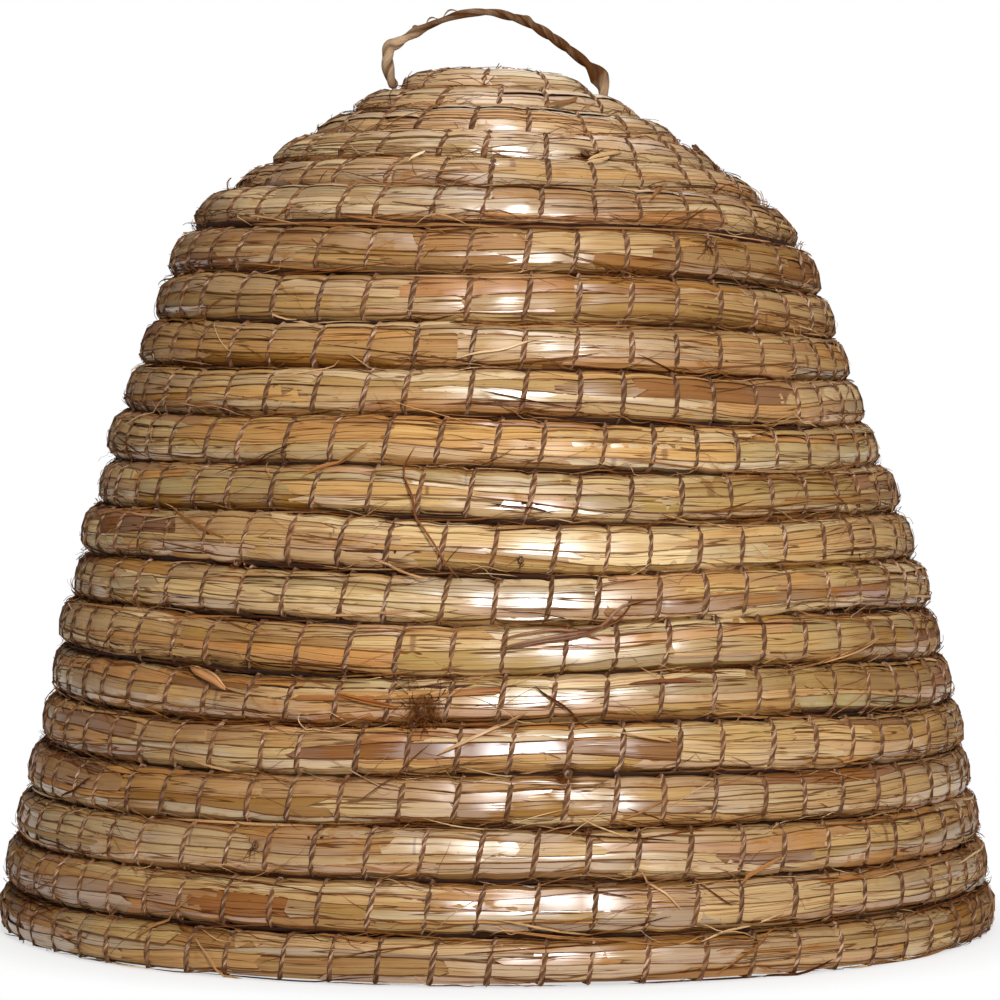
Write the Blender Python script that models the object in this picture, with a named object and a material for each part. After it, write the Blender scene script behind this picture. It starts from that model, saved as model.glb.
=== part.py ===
# Coiled straw bee skep: one spiral rope of straw, wound round with binding twine that sews each
# turn to the next, and a cord handle that swings in two grooves of the crown.
# Units are metres. Z is up, the skep stands on its rim at Z = 0, and the rim is round the Z axis.
# The photographed side faces -Y.

import math

import bmesh
import bpy
import numpy as np
from mathutils import Matrix, Vector
from mathutils.bvhtree import BVHTree

# Outline of the skep, measured to the outside of the straw
BASE_DIAMETER = 0.440
STRAW_HEIGHT = 0.379
# Crown, brow, roof, shoulder, chest, waist and hip, as shares of the base's radius and of the height
OUTLINE = [
    (0.1364, 0.9979),
    (0.2455, 0.9710),
    (0.3636, 0.9301),
    (0.6045, 0.8232),
    (0.7023, 0.6887),
    (0.8273, 0.4829),
    (0.9364, 0.2269),
]

# The straw rope. Its section is six-sided, with one flat side against each neighbouring turn.
ROPE_WIDTH = 0.0197
TURN_GAP = 0.0013
SIDES = 6
POINTS_PER_TURN = 24
FLAT_CUT = 0.0020
START_REACH = 0.0097
START_WIDTH = 0.0080
START_TAPER_TURNS = 0.70
TAIL_TAPER_TURNS = 0.5
TAIL_TIP_STEPS = 4
TAIL_END_AZIMUTH = math.pi
LEVELLED_TURNS = 18.0
CROWN_LEAN = 0.0040

# The binding twine: one length winds round each turn of the rope, drawn thin between the turns.
# Fewer stitches are modelled than the skep has.
TWINE_DIAMETER = 0.0024
TWINE_SIDES = 3
TWINE_CLEARANCE = 0.0003
STITCH_SPACING = 0.110
STITCH_SLANT = 0.0055
FEWEST_STITCHES = 3
MOST_STITCHES = 12
UNSEWN_START_STEPS = 13
UNSEWN_TAIL_STEPS = 6
RIM_NOTCH_WIDTH = 0.0032
RIM_NOTCH_HEIGHT = 0.0026

# The cord handle
CORD_DIAMETER = 0.0054
CORD_SIDES = 12
HANDLE_RISE = 0.0350
LEFT_FOOT_RADIUS = 0.0435
RIGHT_FOOT_RADIUS = 0.0460
SEAT_CLEARANCE = 0.0005
BORE_CLEARANCE = 0.0003
KNOT_RING_RADIUS = 0.0042
KNOT_RING_SEGMENTS = 16
KNOT_CORD_SEGMENTS = 8
CORD_TAIL = 0.0140
BALL_END_ANGLES = (28, 55, 80)
# The handle's route, left foot to right foot, as shares of the span between the feet and of the rise
HANDLE_ROUTE = [
    (0.000, 0.00),
    (-0.025, 0.16),
    (-0.040, 0.34),
    (-0.020, 0.50),
    (0.045, 0.61),
    (0.150, 0.76),
    (0.255, 0.89),
    (0.360, 0.97),
    (0.465, 1.00),
    (0.570, 0.97),
    (0.675, 0.88),
    (0.775, 0.75),
    (0.865, 0.59),
    (0.950, 0.42),
    (1.015, 0.25),
    (1.020, 0.12),
    (1.000, 0.00),
]

# Half the angle that one side of the rope's section takes up
HALF_SIDE = math.pi / SIDES
# The section's size from corner to corner, in to out of the wall, and the length of a flat side
ROPE_DEPTH = ROPE_WIDTH / math.cos(HALF_SIDE)
ROPE_FLAT = ROPE_WIDTH * math.tan(HALF_SIDE)
PITCH = ROPE_WIDTH + TURN_GAP
OUTLINE_SAMPLES = 60
ROUTE_SAMPLES = 2


# Scene, collections, materials and simple shapes


def clear_scene():
    for obj in list(bpy.data.objects):
        bpy.data.objects.remove(obj)


def new_collection(name):
    collection = bpy.data.collections.new(name)
    bpy.context.scene.collection.children.link(collection)
    return collection


def make_material(name, colour, roughness):
    material = bpy.data.materials.new(name)
    material.use_nodes = True
    shader = material.node_tree.nodes["Principled BSDF"]
    shader.inputs["Base Color"].default_value = (*colour, 1.0)
    shader.inputs["Roughness"].default_value = roughness
    shader.inputs["Metallic"].default_value = 0.0
    return material


def add_object(name, data, material, collection):
    obj = bpy.data.objects.new(name, data)
    data.materials.append(material)
    collection.objects.link(obj)
    return obj


def add_helper(name, data, collection):
    """A cutter or another guide, which isn't a piece of the skep."""
    helper = bpy.data.objects.new(name, data)
    helper.hide_render = True
    helper.display_type = "WIRE"
    collection.objects.link(helper)
    return helper


def add_boolean(obj, operation, other):
    modifier = obj.modifiers.new(other.name, "BOOLEAN")
    modifier.operation = operation
    modifier.solver = "EXACT"
    modifier.object = other


def box_mesh(name, size):
    mesh = bpy.data.meshes.new(name)
    shape = bmesh.new()
    bmesh.ops.create_cube(shape, size=1.0, matrix=Matrix.Diagonal((*size, 1.0)))
    shape.to_mesh(mesh)
    shape.free()
    return mesh


def rod_mesh(name, start, end, radius):
    """A straight round rod between two points."""
    mesh = bpy.data.meshes.new(name)
    shape = bmesh.new()
    along = end - start
    turn = along.to_track_quat("Z", "Y").to_matrix().to_4x4()
    bmesh.ops.create_cone(
        shape,
        cap_ends=True,
        segments=CORD_SIDES,
        radius1=radius,
        radius2=radius,
        depth=along.length,
        matrix=Matrix.Translation((start + end) / 2) @ turn,
    )
    shape.to_mesh(mesh)
    shape.free()
    return mesh


def mesh_from_curve(curve_object, collection):
    """Turns a curve object into a mesh object of the same name, with its caps welded on."""
    graph = bpy.context.evaluated_depsgraph_get()
    mesh = bpy.data.meshes.new_from_object(curve_object.evaluated_get(graph))
    shape = bmesh.new()
    shape.from_mesh(mesh)
    bmesh.ops.remove_doubles(shape, verts=shape.verts, dist=1e-6)
    shape.to_mesh(mesh)
    shape.free()
    name = curve_object.name
    matrix = curve_object.matrix_world.copy()
    bpy.data.objects.remove(curve_object)
    obj = bpy.data.objects.new(name, mesh)
    obj.matrix_world = matrix
    collection.objects.link(obj)
    return obj


# The meridian: the line that the middle of the rope follows from the crown's centre to the floor


def catmull_rom(points, samples):
    """Points on one smooth curve through the given points, without the first and last of them."""
    line = []
    for a, b, c, d in zip(points, points[1:], points[2:], points[3:]):
        for step in range(samples):
            u = step / samples
            straight = 2 * b + (c - a) * u
            bent = (2 * a - 5 * b + 4 * c - d) * u**2 + (3 * b - a - 3 * c + d) * u**3
            line.append((straight + bent) / 2)
    line.append(points[-2])
    return np.array(line)


def moved_inside(outline, depth):
    """The outline moved towards the inside of the skep by depth, at right angles to itself."""
    along = np.gradient(outline, axis=0)
    along /= np.linalg.norm(along, axis=1)[:, None]
    inward = np.column_stack([along[:, 1], -along[:, 0]])
    return outline + inward * depth


class Meridian:
    """Radius, height and slope of the rope's middle line, by the distance from the crown's centre."""

    def __init__(self):
        base = BASE_DIAMETER / 2
        sides = [(base * radius, STRAW_HEIGHT * height) for radius, height in OUTLINE]
        beyond = (-sides[0][0], sides[0][1])
        foot = [(base, ROPE_WIDTH), (base, -FLAT_CUT), (base, -ROPE_WIDTH)]
        outside = [beyond, (0.0, STRAW_HEIGHT), *sides, *foot]
        outline = catmull_rom([np.array(point) for point in outside], OUTLINE_SAMPLES)
        self.middle = moved_inside(outline, ROPE_DEPTH / 2)
        self.middle[0, 0] = 0.0
        steps = np.linalg.norm(np.diff(self.middle, axis=0), axis=1)
        self.distances = np.concatenate([[0.0], np.cumsum(steps)])
        self.length = self.distances[-1]
        along = np.gradient(self.middle, axis=0)
        self.slopes = np.unwrap(np.arctan2(along[:, 1], along[:, 0]))

    def at(self, distance):
        radius = np.interp(distance, self.distances, self.middle[:, 0])
        height = np.interp(distance, self.distances, self.middle[:, 1])
        slope = np.interp(distance, self.distances, self.slopes)
        return radius, height, slope


def wall_frame(meridian, distance, azimuth):
    """A place on the wall's middle surface, the ways down the wall and out of it, and its slope."""
    radius, height, slope = meridian.at(distance)
    radial = Vector((math.cos(azimuth), math.sin(azimuth), 0.0))
    middle = radial * radius + Vector((-CROWN_LEAN * height / STRAW_HEIGHT, 0.0, height))
    down = radial * math.cos(slope) + Vector((0.0, 0.0, math.sin(slope)))
    out = radial * -math.sin(slope) + Vector((0.0, 0.0, math.cos(slope)))
    return middle, down, out, slope


# The spiral: where the rope is, by the number of turns left to its tail's tip at the rim


def turns_to_start(meridian):
    """How many turns the rope makes from its start on the crown to its tail's tip."""
    return (meridian.length - START_REACH) / PITCH + (1 + TAIL_TAPER_TURNS) / 2


def tail_share(turns_left):
    """1 where the rope is whole, falling to 0 over the tail's taper."""
    return min(1.0, max(0.0, turns_left) / TAIL_TAPER_TURNS)


def lower_edge(meridian, turns_left):
    """How far along the meridian the rope's lower edge is. The rim is level, and the turns above
    it ease into an even spiral."""
    turns_above = max(0, math.ceil(turns_left - 1.0))
    levelled = meridian.length
    if turns_above:
        under = PITCH * tail_share(turns_left - turns_above)
        levelled -= under + (turns_above - 1) * PITCH
    even = meridian.length - PITCH * (turns_left - (1 + TAIL_TAPER_TURNS) / 2)
    blend = min(1.0, max(0.0, 1.0 - (turns_left - 1.0) / LEVELLED_TURNS))
    return blend * levelled + (1.0 - blend) * even


def bend_allowance(meridian, distance):
    """How much narrower the rope is where the wall bends, so that inner corners keep apart."""
    here = meridian.at(distance)[2]
    bends = [abs(meridian.at(distance + step)[2] - here) for step in (-PITCH, PITCH)]
    return ROPE_FLAT / 2 * max(bends)


class RopePoint:
    """One section of the rope: its middle, the ways down the wall and out of it, and its width."""

    def __init__(self, middle, down, out, slope, width, turns_left):
        self.middle = middle
        self.down = down
        self.out = out
        self.slope = slope
        self.width = width
        self.turns_left = turns_left

    def place(self, down, out):
        """A point beside the section's middle: down along the wall, and out of the wall."""
        return self.middle + self.down * down + self.out * out

    def ridge(self):
        """How far the section's outer corner is from its middle."""
        return self.width / 2 / math.cos(HALF_SIDE)


def rope_point(meridian, turns_left):
    """The rope's section at a place, flush with the wall's outside where the rope is thinner."""
    distance = lower_edge(meridian, turns_left) - PITCH / 2
    whole = ROPE_WIDTH - bend_allowance(meridian, distance)
    grown = min(1.0, (turns_to_start(meridian) - turns_left) / START_TAPER_TURNS)
    started = START_WIDTH + (whole - START_WIDTH) * grown
    ended = PITCH * tail_share(turns_left) - TURN_GAP - (ROPE_WIDTH - whole) / 2
    width = min(whole, started, ended)
    distance += (whole - width) / 2
    azimuth = TAIL_END_AZIMUTH - 2 * math.pi * turns_left
    middle, down, out, slope = wall_frame(meridian, distance, azimuth)
    flush = (whole - width) / 2 / math.cos(HALF_SIDE)
    return RopePoint(middle + out * flush, down, out, slope, width, turns_left)


def rope_points(meridian):
    """The rope's sections from the crown to the tail's tip."""
    first = math.floor(turns_to_start(meridian) * POINTS_PER_TURN)
    steps = range(first, TAIL_TIP_STEPS - 1, -1)
    return [rope_point(meridian, step / POINTS_PER_TURN) for step in steps]


def between(before, after, share):
    """A section part of the way from one section of the rope to the next."""
    return RopePoint(
        before.middle.lerp(after.middle, share),
        before.down.lerp(after.down, share),
        before.out.lerp(after.out, share),
        before.slope + (after.slope - before.slope) * share,
        before.width + (after.width - before.width) * share,
        before.turns_left + (after.turns_left - before.turns_left) * share,
    )


# The straw rope


def add_rope(points, material, collection):
    """The rope as one tube, its six-sided section turned to follow the wall's slope."""
    curve = bpy.data.curves.new("straw_rope", "CURVE")
    curve.dimensions = "3D"
    curve.twist_mode = "Z_UP"
    curve.bevel_depth = ROPE_DEPTH / 2
    curve.bevel_resolution = 1
    curve.use_fill_caps = True
    spline = curve.splines.new("POLY")
    spline.points.add(len(points) - 1)
    for target, point in zip(spline.points, points):
        target.co = (*point.middle, 1.0)
        target.radius = point.width / ROPE_WIDTH
        target.tilt = HALF_SIDE - point.slope
    return mesh_from_curve(add_object("straw_rope", curve, material, collection), collection)


def least_gap(rope):
    """The rope's least gap to itself: from its points and edge middles to the turns beside them."""
    mesh = rope.data
    half_turn = POINTS_PER_TURN // 2 * SIDES
    blocks = {}
    for face in mesh.polygons:
        blocks.setdefault(min(face.vertices) // half_turn, []).append(list(face.vertices))
    places = [vertex.co for vertex in mesh.vertices]
    trees = {block: BVHTree.FromPolygons(places, faces) for block, faces in blocks.items()}
    probes = [(index // half_turn, place) for index, place in enumerate(places)]
    for edge in mesh.edges:
        start, end = edge.vertices
        probes.append((min(start, end) // half_turn, (places[start] + places[end]) / 2))
    least = PITCH
    for block, place in probes:
        for other in (block + 2, block + 3):
            if other in trees:
                found = trees[other].find_nearest(place, PITCH)
                least = min(least, found[3]) if found[0] else least
    return least


# The binding twine


def add_twine_section(collection):
    """A three-sided section for the twine."""
    curve = bpy.data.curves.new("twine_section", "CURVE")
    curve.dimensions = "2D"
    spline = curve.splines.new("POLY")
    spline.points.add(TWINE_SIDES - 1)
    for index, target in enumerate(spline.points):
        angle = -2 * math.pi * index / TWINE_SIDES
        across = TWINE_DIAMETER / 2 * math.cos(angle)
        target.co = (across, TWINE_DIAMETER / 2 * math.sin(angle), 0.0, 1.0)
    spline.use_cyclic_u = True
    return add_helper("twine_section", curve, collection)


def over_ridge(section, side):
    """The twine's middle over the rope's ridge, on the outside (side 1) or inside (side -1)."""
    off = (TWINE_DIAMETER / 2 + TWINE_CLEARANCE) / math.cos(HALF_SIDE)
    return section.place(0.0, side * (section.ridge() + off))


def through_wall(section, side):
    """The outer and inner end of the twine's way through the wall, below the rope (side 1) or
    above it (side -1). Below the lowest turn the way is a notch, clear of the floor."""
    half_length = section.ridge() / 2 + TWINE_DIAMETER / 2
    under_rim = side > 0 and section.turns_left < 1.0
    if under_rim:
        half_length += RIM_NOTCH_HEIGHT
    down = side * (section.width + TURN_GAP) / 2
    ends = [section.place(down, half_length), section.place(down, -half_length)]
    if under_rim:
        for end in ends:
            end.z = RIM_NOTCH_HEIGHT / 2
    return ends


def stitch(before, after):
    """One wrap of twine from inside below to inside above, as places with shares of its radius.
    It slants: it crosses the wall below at one azimuth and above at another, further along."""
    half_slant = STITCH_SLANT / 2 / (after.middle - before.middle).length
    low_outer, low_inner = through_wall(between(before, after, 0.5 - half_slant), 1)
    high_outer, high_inner = through_wall(between(before, after, 0.5 + half_slant), -1)
    pressed = (TURN_GAP / 2 - TWINE_CLEARANCE) / TWINE_DIAMETER
    return [
        (low_inner, pressed),
        (low_outer, pressed),
        (over_ridge(between(before, after, 0.5), 1), 1.0),
        (high_outer, pressed),
        (high_inner, pressed),
    ]


def lies_on_something(section):
    """Whether a turn or the floor is below the rope. Past the tail's tip it goes down to the floor."""
    return not 0.0 <= section.turns_left - 1.0 < TAIL_TIP_STEPS / POINTS_PER_TURN


def steps_between_stitches(around):
    """How many steps of the rope there are from one stitch to the next on a turn."""
    steps = round(STITCH_SPACING / (around[1].middle - around[0].middle).length)
    steps = max(steps, POINTS_PER_TURN // MOST_STITCHES)
    return min(steps, POINTS_PER_TURN // FEWEST_STITCHES)


def add_twine_length(name, line, section, material, collection):
    curve = bpy.data.curves.new(name, "CURVE")
    curve.dimensions = "3D"
    curve.bevel_mode = "OBJECT"
    curve.bevel_object = section
    curve.use_fill_caps = True
    spline = curve.splines.new("POLY")
    spline.points.add(len(line) - 1)
    for target, (place, share) in zip(spline.points, line):
        target.co = (*place, 1.0)
        target.radius = share
    return add_object(name, curve, material, collection)


def add_twine(points, feet, section, material, collection):
    """A length of twine for each turn, its stitches clear of the handle's feet. Between stitches
    it runs inside the skep, along the rope's ridge. Returns where it passes under the rim."""
    sewn = points[UNSEWN_START_STEPS : len(points) - UNSEWN_TAIL_STEPS]
    under_rim = []
    for first in range(0, len(sewn) - 1, POINTS_PER_TURN):
        around = sewn[first : first + POINTS_PER_TURN]
        every = steps_between_stitches(around)
        line = []
        last_stitched = 0
        for index, (before, after) in enumerate(zip(around, around[1:])):
            halfway = between(before, after, 0.5)
            clear = min((halfway.middle - foot.middle).length for foot in feet)
            if index % every == 0 and clear > ROPE_WIDTH and lies_on_something(halfway):
                line += stitch(before, after)
                last_stitched = len(line)
                if halfway.turns_left < 1.0:
                    under_rim.append(halfway)
            if line:
                line.append((over_ridge(after, -1), 1.0))
        name = f"binding_twine_{first // POINTS_PER_TURN + 1:02d}"
        add_twine_length(name, line[:last_stitched], section, material, collection)
    return under_rim


def cut_rim_notches(rope, under_rim, cutters):
    """Cuts the notches in which the twine passes under the lowest turn."""
    size = (2 * ROPE_DEPTH, RIM_NOTCH_WIDTH + STITCH_SLANT, 2 * RIM_NOTCH_HEIGHT)
    for number, section in enumerate(under_rim):
        name = f"rim_notch_{number + 1:02d}"
        cutter = add_helper(name, box_mesh(name, size), cutters)
        cutter.location = (section.middle.x, section.middle.y, 0.0)
        cutter.rotation_euler.z = math.atan2(section.middle.y, section.middle.x)
        add_boolean(rope, "DIFFERENCE", cutter)


# The cord handle


class Foot:
    """Where an end of the handle goes into the groove between two turns of the crown."""

    def __init__(self, meridian, azimuth, radius):
        turns = (TAIL_END_AZIMUTH - azimuth) / (2 * math.pi)
        grooves = []
        while turns < turns_to_start(meridian):
            if turns > 0:
                grooves.append(lower_edge(meridian, turns))
            turns += 1
        groove = min(grooves, key=lambda place: abs(meridian.at(place)[0] - radius))
        self.middle, _, self.out, _ = wall_frame(meridian, groove, azimuth)
        self.ball = self.at(ball_seat())

    def at(self, out):
        """A point so far out of the wall's middle surface."""
        return self.middle + self.out * out


def groove_bottom():
    """How far the bottom of the groove between two turns is from the wall's middle."""
    return (ROPE_FLAT - TURN_GAP * math.tan(HALF_SIDE)) / 2


def ball_seat():
    """How far from the wall's middle the handle's ball end lies when it rests in a groove."""
    return groove_bottom() + (CORD_DIAMETER / 2 + SEAT_CLEARANCE) / math.cos(HALF_SIDE)


def ring_seat():
    """How far from the wall's middle a knot's ring lies when it rests in the groove inside."""
    reach = CORD_DIAMETER / 2 + SEAT_CLEARANCE + KNOT_RING_RADIUS * math.sin(HALF_SIDE)
    return groove_bottom() + reach / math.cos(HALF_SIDE)


def handle_line(left, right):
    """The handle's middle line between its two ball ends, standing upright above them."""
    span = right.ball - left.ball
    knots = []
    for along, up in HANDLE_ROUTE:
        knots.append(np.array(left.ball + span * along + Vector((0, 0, HANDLE_RISE * up))))
    before = 2 * knots[0] - knots[1]
    after = 2 * knots[-1] - knots[-2]
    return [Vector(place) for place in catmull_rom([before, *knots, after], ROUTE_SAMPLES)]


def ball_end(end, beside, radius):
    """Places and shares of the radius that close a cord's end as half a ball."""
    away = (end - beside).normalized()
    angles = [math.radians(angle) for angle in BALL_END_ANGLES]
    return [(end + away * radius * math.sin(angle), math.cos(angle)) for angle in angles]


def add_handle(left, right, material, collection):
    """The arched cord, with its origin on the line through its two ball ends."""
    radius = CORD_DIAMETER / 2
    curve = bpy.data.curves.new("handle_cord", "CURVE")
    curve.dimensions = "3D"
    curve.bevel_depth = radius
    curve.bevel_resolution = 2
    curve.use_fill_caps = True
    line = handle_line(left, right)
    shape = ball_end(line[0], line[1], radius)[::-1]
    shape += [(place, 1.0) for place in line]
    shape += ball_end(line[-1], line[-2], radius)
    spline = curve.splines.new("POLY")
    spline.points.add(len(shape) - 1)
    pivot = (left.ball + right.ball) / 2
    for target, (place, share) in zip(spline.points, shape):
        target.co = (*(place - pivot), 1.0)
        target.radius = share
    handle = add_object("handle_cord", curve, material, collection)
    handle.location = pivot
    return handle


def add_knot_ring(name, foot, cutters):
    """The round turn of a knot, which its handle end takes in."""
    bpy.ops.mesh.primitive_torus_add(
        location=foot.at(-ring_seat()),
        rotation=foot.out.to_track_quat("Z", "Y").to_euler(),
        major_segments=KNOT_RING_SEGMENTS,
        minor_segments=KNOT_CORD_SEGMENTS,
        major_radius=KNOT_RING_RADIUS,
        minor_radius=CORD_DIAMETER / 2,
    )
    made = bpy.context.object
    ring = add_helper(name, made.data, cutters)
    ring.location = made.location
    ring.rotation_euler = made.rotation_euler
    bpy.data.objects.remove(made)
    return ring


def add_handle_end(name, foot, rope, material, collection, cutters):
    """The handle's cord from its ball end through the wall, knotted on the inside."""
    radius = CORD_DIAMETER / 2
    top = foot.at(ball_seat() - radius - SEAT_CLEARANCE)
    bottom = foot.at(-ring_seat() - radius - CORD_TAIL)
    end = add_object(name, rod_mesh(name, top, bottom, radius), material, collection)
    add_boolean(end, "UNION", add_knot_ring(name + "_knot", foot, cutters))
    above, below = foot.at(ROPE_DEPTH), foot.at(-ROPE_DEPTH)
    bore = rod_mesh(name + "_bore", above, below, radius + BORE_CLEARANCE)
    add_boolean(rope, "DIFFERENCE", add_helper(name + "_bore", bore, cutters))
    return end


def main():
    clear_scene()
    skep = new_collection("bee_skep")
    cutters = new_collection("cutters")
    straw = make_material("straw", (0.62, 0.42, 0.20), 0.55)
    twine = make_material("twine", (0.26, 0.14, 0.075), 0.85)
    cord = make_material("cord", (0.33, 0.18, 0.085), 0.80)

    meridian = Meridian()
    points = rope_points(meridian)
    left = Foot(meridian, math.pi, LEFT_FOOT_RADIUS)
    right = Foot(meridian, 2 * math.pi, RIGHT_FOOT_RADIUS)

    rope = add_rope(points, straw, skep)
    rope_gap = least_gap(rope)
    floor_size = (2 * BASE_DIAMETER, 2 * BASE_DIAMETER, 2 * PITCH)
    floor = add_helper("floor", box_mesh("floor", floor_size), cutters)
    floor.location.z = -PITCH
    add_boolean(rope, "DIFFERENCE", floor)

    section = add_twine_section(cutters)
    under_rim = add_twine(points, [left, right], section, twine, skep)
    cut_rim_notches(rope, under_rim, cutters)

    add_handle(left, right, cord, skep)
    add_handle_end("handle_end_left", left, rope, cord, skep, cutters)
    add_handle_end("handle_end_right", right, rope, cord, skep, cutters)

    print(f"turns {turns_to_start(meridian):.2f}, meridian {1000 * meridian.length:.1f} mm")
    print(f"least gap of the rope to itself {1000 * rope_gap:.2f} mm")
    print("hinge through", *(f"{value:.5f}" for value in (left.ball + right.ball) / 2))
    print("hinge along", *(f"{value:.5f}" for value in (right.ball - left.ball).normalized()))


main()
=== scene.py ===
import math
import bpy
import numpy as np
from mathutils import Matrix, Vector


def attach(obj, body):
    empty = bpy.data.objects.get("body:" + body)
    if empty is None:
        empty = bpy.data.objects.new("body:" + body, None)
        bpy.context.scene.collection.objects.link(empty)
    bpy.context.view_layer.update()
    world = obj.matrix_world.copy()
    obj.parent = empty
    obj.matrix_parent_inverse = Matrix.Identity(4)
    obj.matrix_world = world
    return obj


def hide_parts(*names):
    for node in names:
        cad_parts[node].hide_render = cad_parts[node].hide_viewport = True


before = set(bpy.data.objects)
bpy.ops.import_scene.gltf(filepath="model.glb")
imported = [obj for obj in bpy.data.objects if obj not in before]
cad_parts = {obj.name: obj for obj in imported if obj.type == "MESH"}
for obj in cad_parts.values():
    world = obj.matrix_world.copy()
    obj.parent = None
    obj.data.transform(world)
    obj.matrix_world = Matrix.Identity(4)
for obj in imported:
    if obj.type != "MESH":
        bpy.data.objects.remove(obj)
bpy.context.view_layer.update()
print("frame loaded:", len(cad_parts), "nodes")

# the same sizes as in the CAD: the wall's outline and the spiral of the straw rope, in metres
wall = {
    "baseDiameter": 0.440,
    "strawHeight": 0.379,
    # crown, brow, roof, shoulder, chest, waist and hip: shares of base radius and height
    "outline": [(0.1364, 0.9979), (0.2455, 0.9710), (0.3636, 0.9301), (0.6045, 0.8232),
                (0.7023, 0.6887), (0.8273, 0.4829), (0.9364, 0.2269)],
    "ropeWidth": 0.0197,
    "turnGap": 0.0013,
    "pointsPerTurn": 24,
    "flatCut": 0.0020,
    "startReach": 0.0097,
    "startWidth": 0.0080,
    "startTaperTurns": 0.70,
    "tailTaperTurns": 0.5,
    "tailTipTurns": 4 / 24,
    "tailEndAzimuth": math.pi,
    "levelledTurns": 18.0,
    "crownLean": 0.0040,
}
pitch = wall["ropeWidth"] + wall["turnGap"]    # from one row's middle to the next

rope = {
    "outReach": 0.0110,      # half the rope's depth, in to out of the wall
    "halfWidth": 0.01055,    # half its width, along the wall
    "squareness": 3.1,       # 2 is an ellipse
    "sectionSteps": 1440,
    "finerSteps": 10,        # points of the coil for each one in the CAD
    "stitchSpacing": 0.0208,
    "spacingVaries": 0.0022,
    "besideStitch": 0.12,    # where the straws rise from a stitch, in stitch spacings
    "pinchOut": 0.055,       # how much a stitch pulls the rope in
    "pinchAcross": 0.085,
    "bulge": 0.022,          # how much it swells between two stitches
    "lumpiness": 0.040,
    "lumpRates": (0.35, 1.9),
    "floorGap": 0.0002,
    "rimDepth": 0.0021,      # under the rim, what is this high on the rope's skin reaches the floor
    "rimPressed": 0.6,       # and what is lower stays above it by this share of the difference
    "unevenOut": 0.0011,     # how far the rows stand out or in by turns
    "unevenDown": 0.0016,    # how far they wander up and down the wall
    "unevenRates": ([0.3, 1.3, 1.7, 2.3], [0.5, 1.6, 2.2, 3.6]),
    "evenAtStart": (2, 4),   # turns that stay even, and turns over which the unevenness grows
    "evenAtRim": (0.3, 6),
    # how far the wall sways aside at each height
    "sway": [(0, 0), (0.036, 0.0003), (0.072, 0.0017), (0.099, 0.0029), (0.139, 0.0027), (0.188, 0.0013),
             (0.233, 0.0), (0.4, 0.0)],
    "seed": 41,
}


def smoothLine(points, samples):
    points = np.array(points, float)
    u = (np.arange(samples) / samples)[:, None]
    line = [(2 * b + (c - a) * u + (2 * a - 5 * b + 4 * c - d) * u**2
             + (3 * b - a - 3 * c + d) * u**3) / 2
            for a, b, c, d in zip(points, points[1:], points[2:], points[3:])]
    return np.vstack(line + [points[-2:-1]])


def unit(vectors):
    return vectors / np.linalg.norm(vectors, axis=-1, keepdims=True)


def alongLine(points):
    steps = np.linalg.norm(np.diff(points, axis=0), axis=1)
    return np.concatenate([[0.0], np.cumsum(steps)])


def evenly(points, count):
    along = alongLine(points)
    even = np.linspace(0, along[-1], count)
    return np.column_stack([np.interp(even, along, column) for column in points.T])


def smoothRoute(knots, samples, count):
    # evenly spaced points on a smooth line from the first knot to the last
    return evenly(smoothLine([2 * knots[0] - knots[1], *knots, 2 * knots[-1] - knots[-2]], samples), count)


def wallLine():
    # the line that the rope's middle follows from the crown's centre down to the rim
    base = wall["baseDiameter"] / 2
    sides = [(base * r, wall["strawHeight"] * h) for r, h in wall["outline"]]
    rim = [(base, wall["ropeWidth"]), (base, -wall["flatCut"]), (base, -wall["ropeWidth"])]
    outside = smoothLine([(-sides[0][0], sides[0][1]), (0, wall["strawHeight"]), *sides, *rim], 60)
    way = unit(np.gradient(outside, axis=0))
    depth = wall["ropeWidth"] / 2 / math.cos(math.pi / 6)
    middle = outside + np.column_stack([way[:, 1], -way[:, 0]]) * depth
    middle[0, 0] = 0.0
    way = np.gradient(middle, axis=0)
    return alongLine(middle), middle, np.unwrap(np.arctan2(way[:, 1], way[:, 0]))


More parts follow.
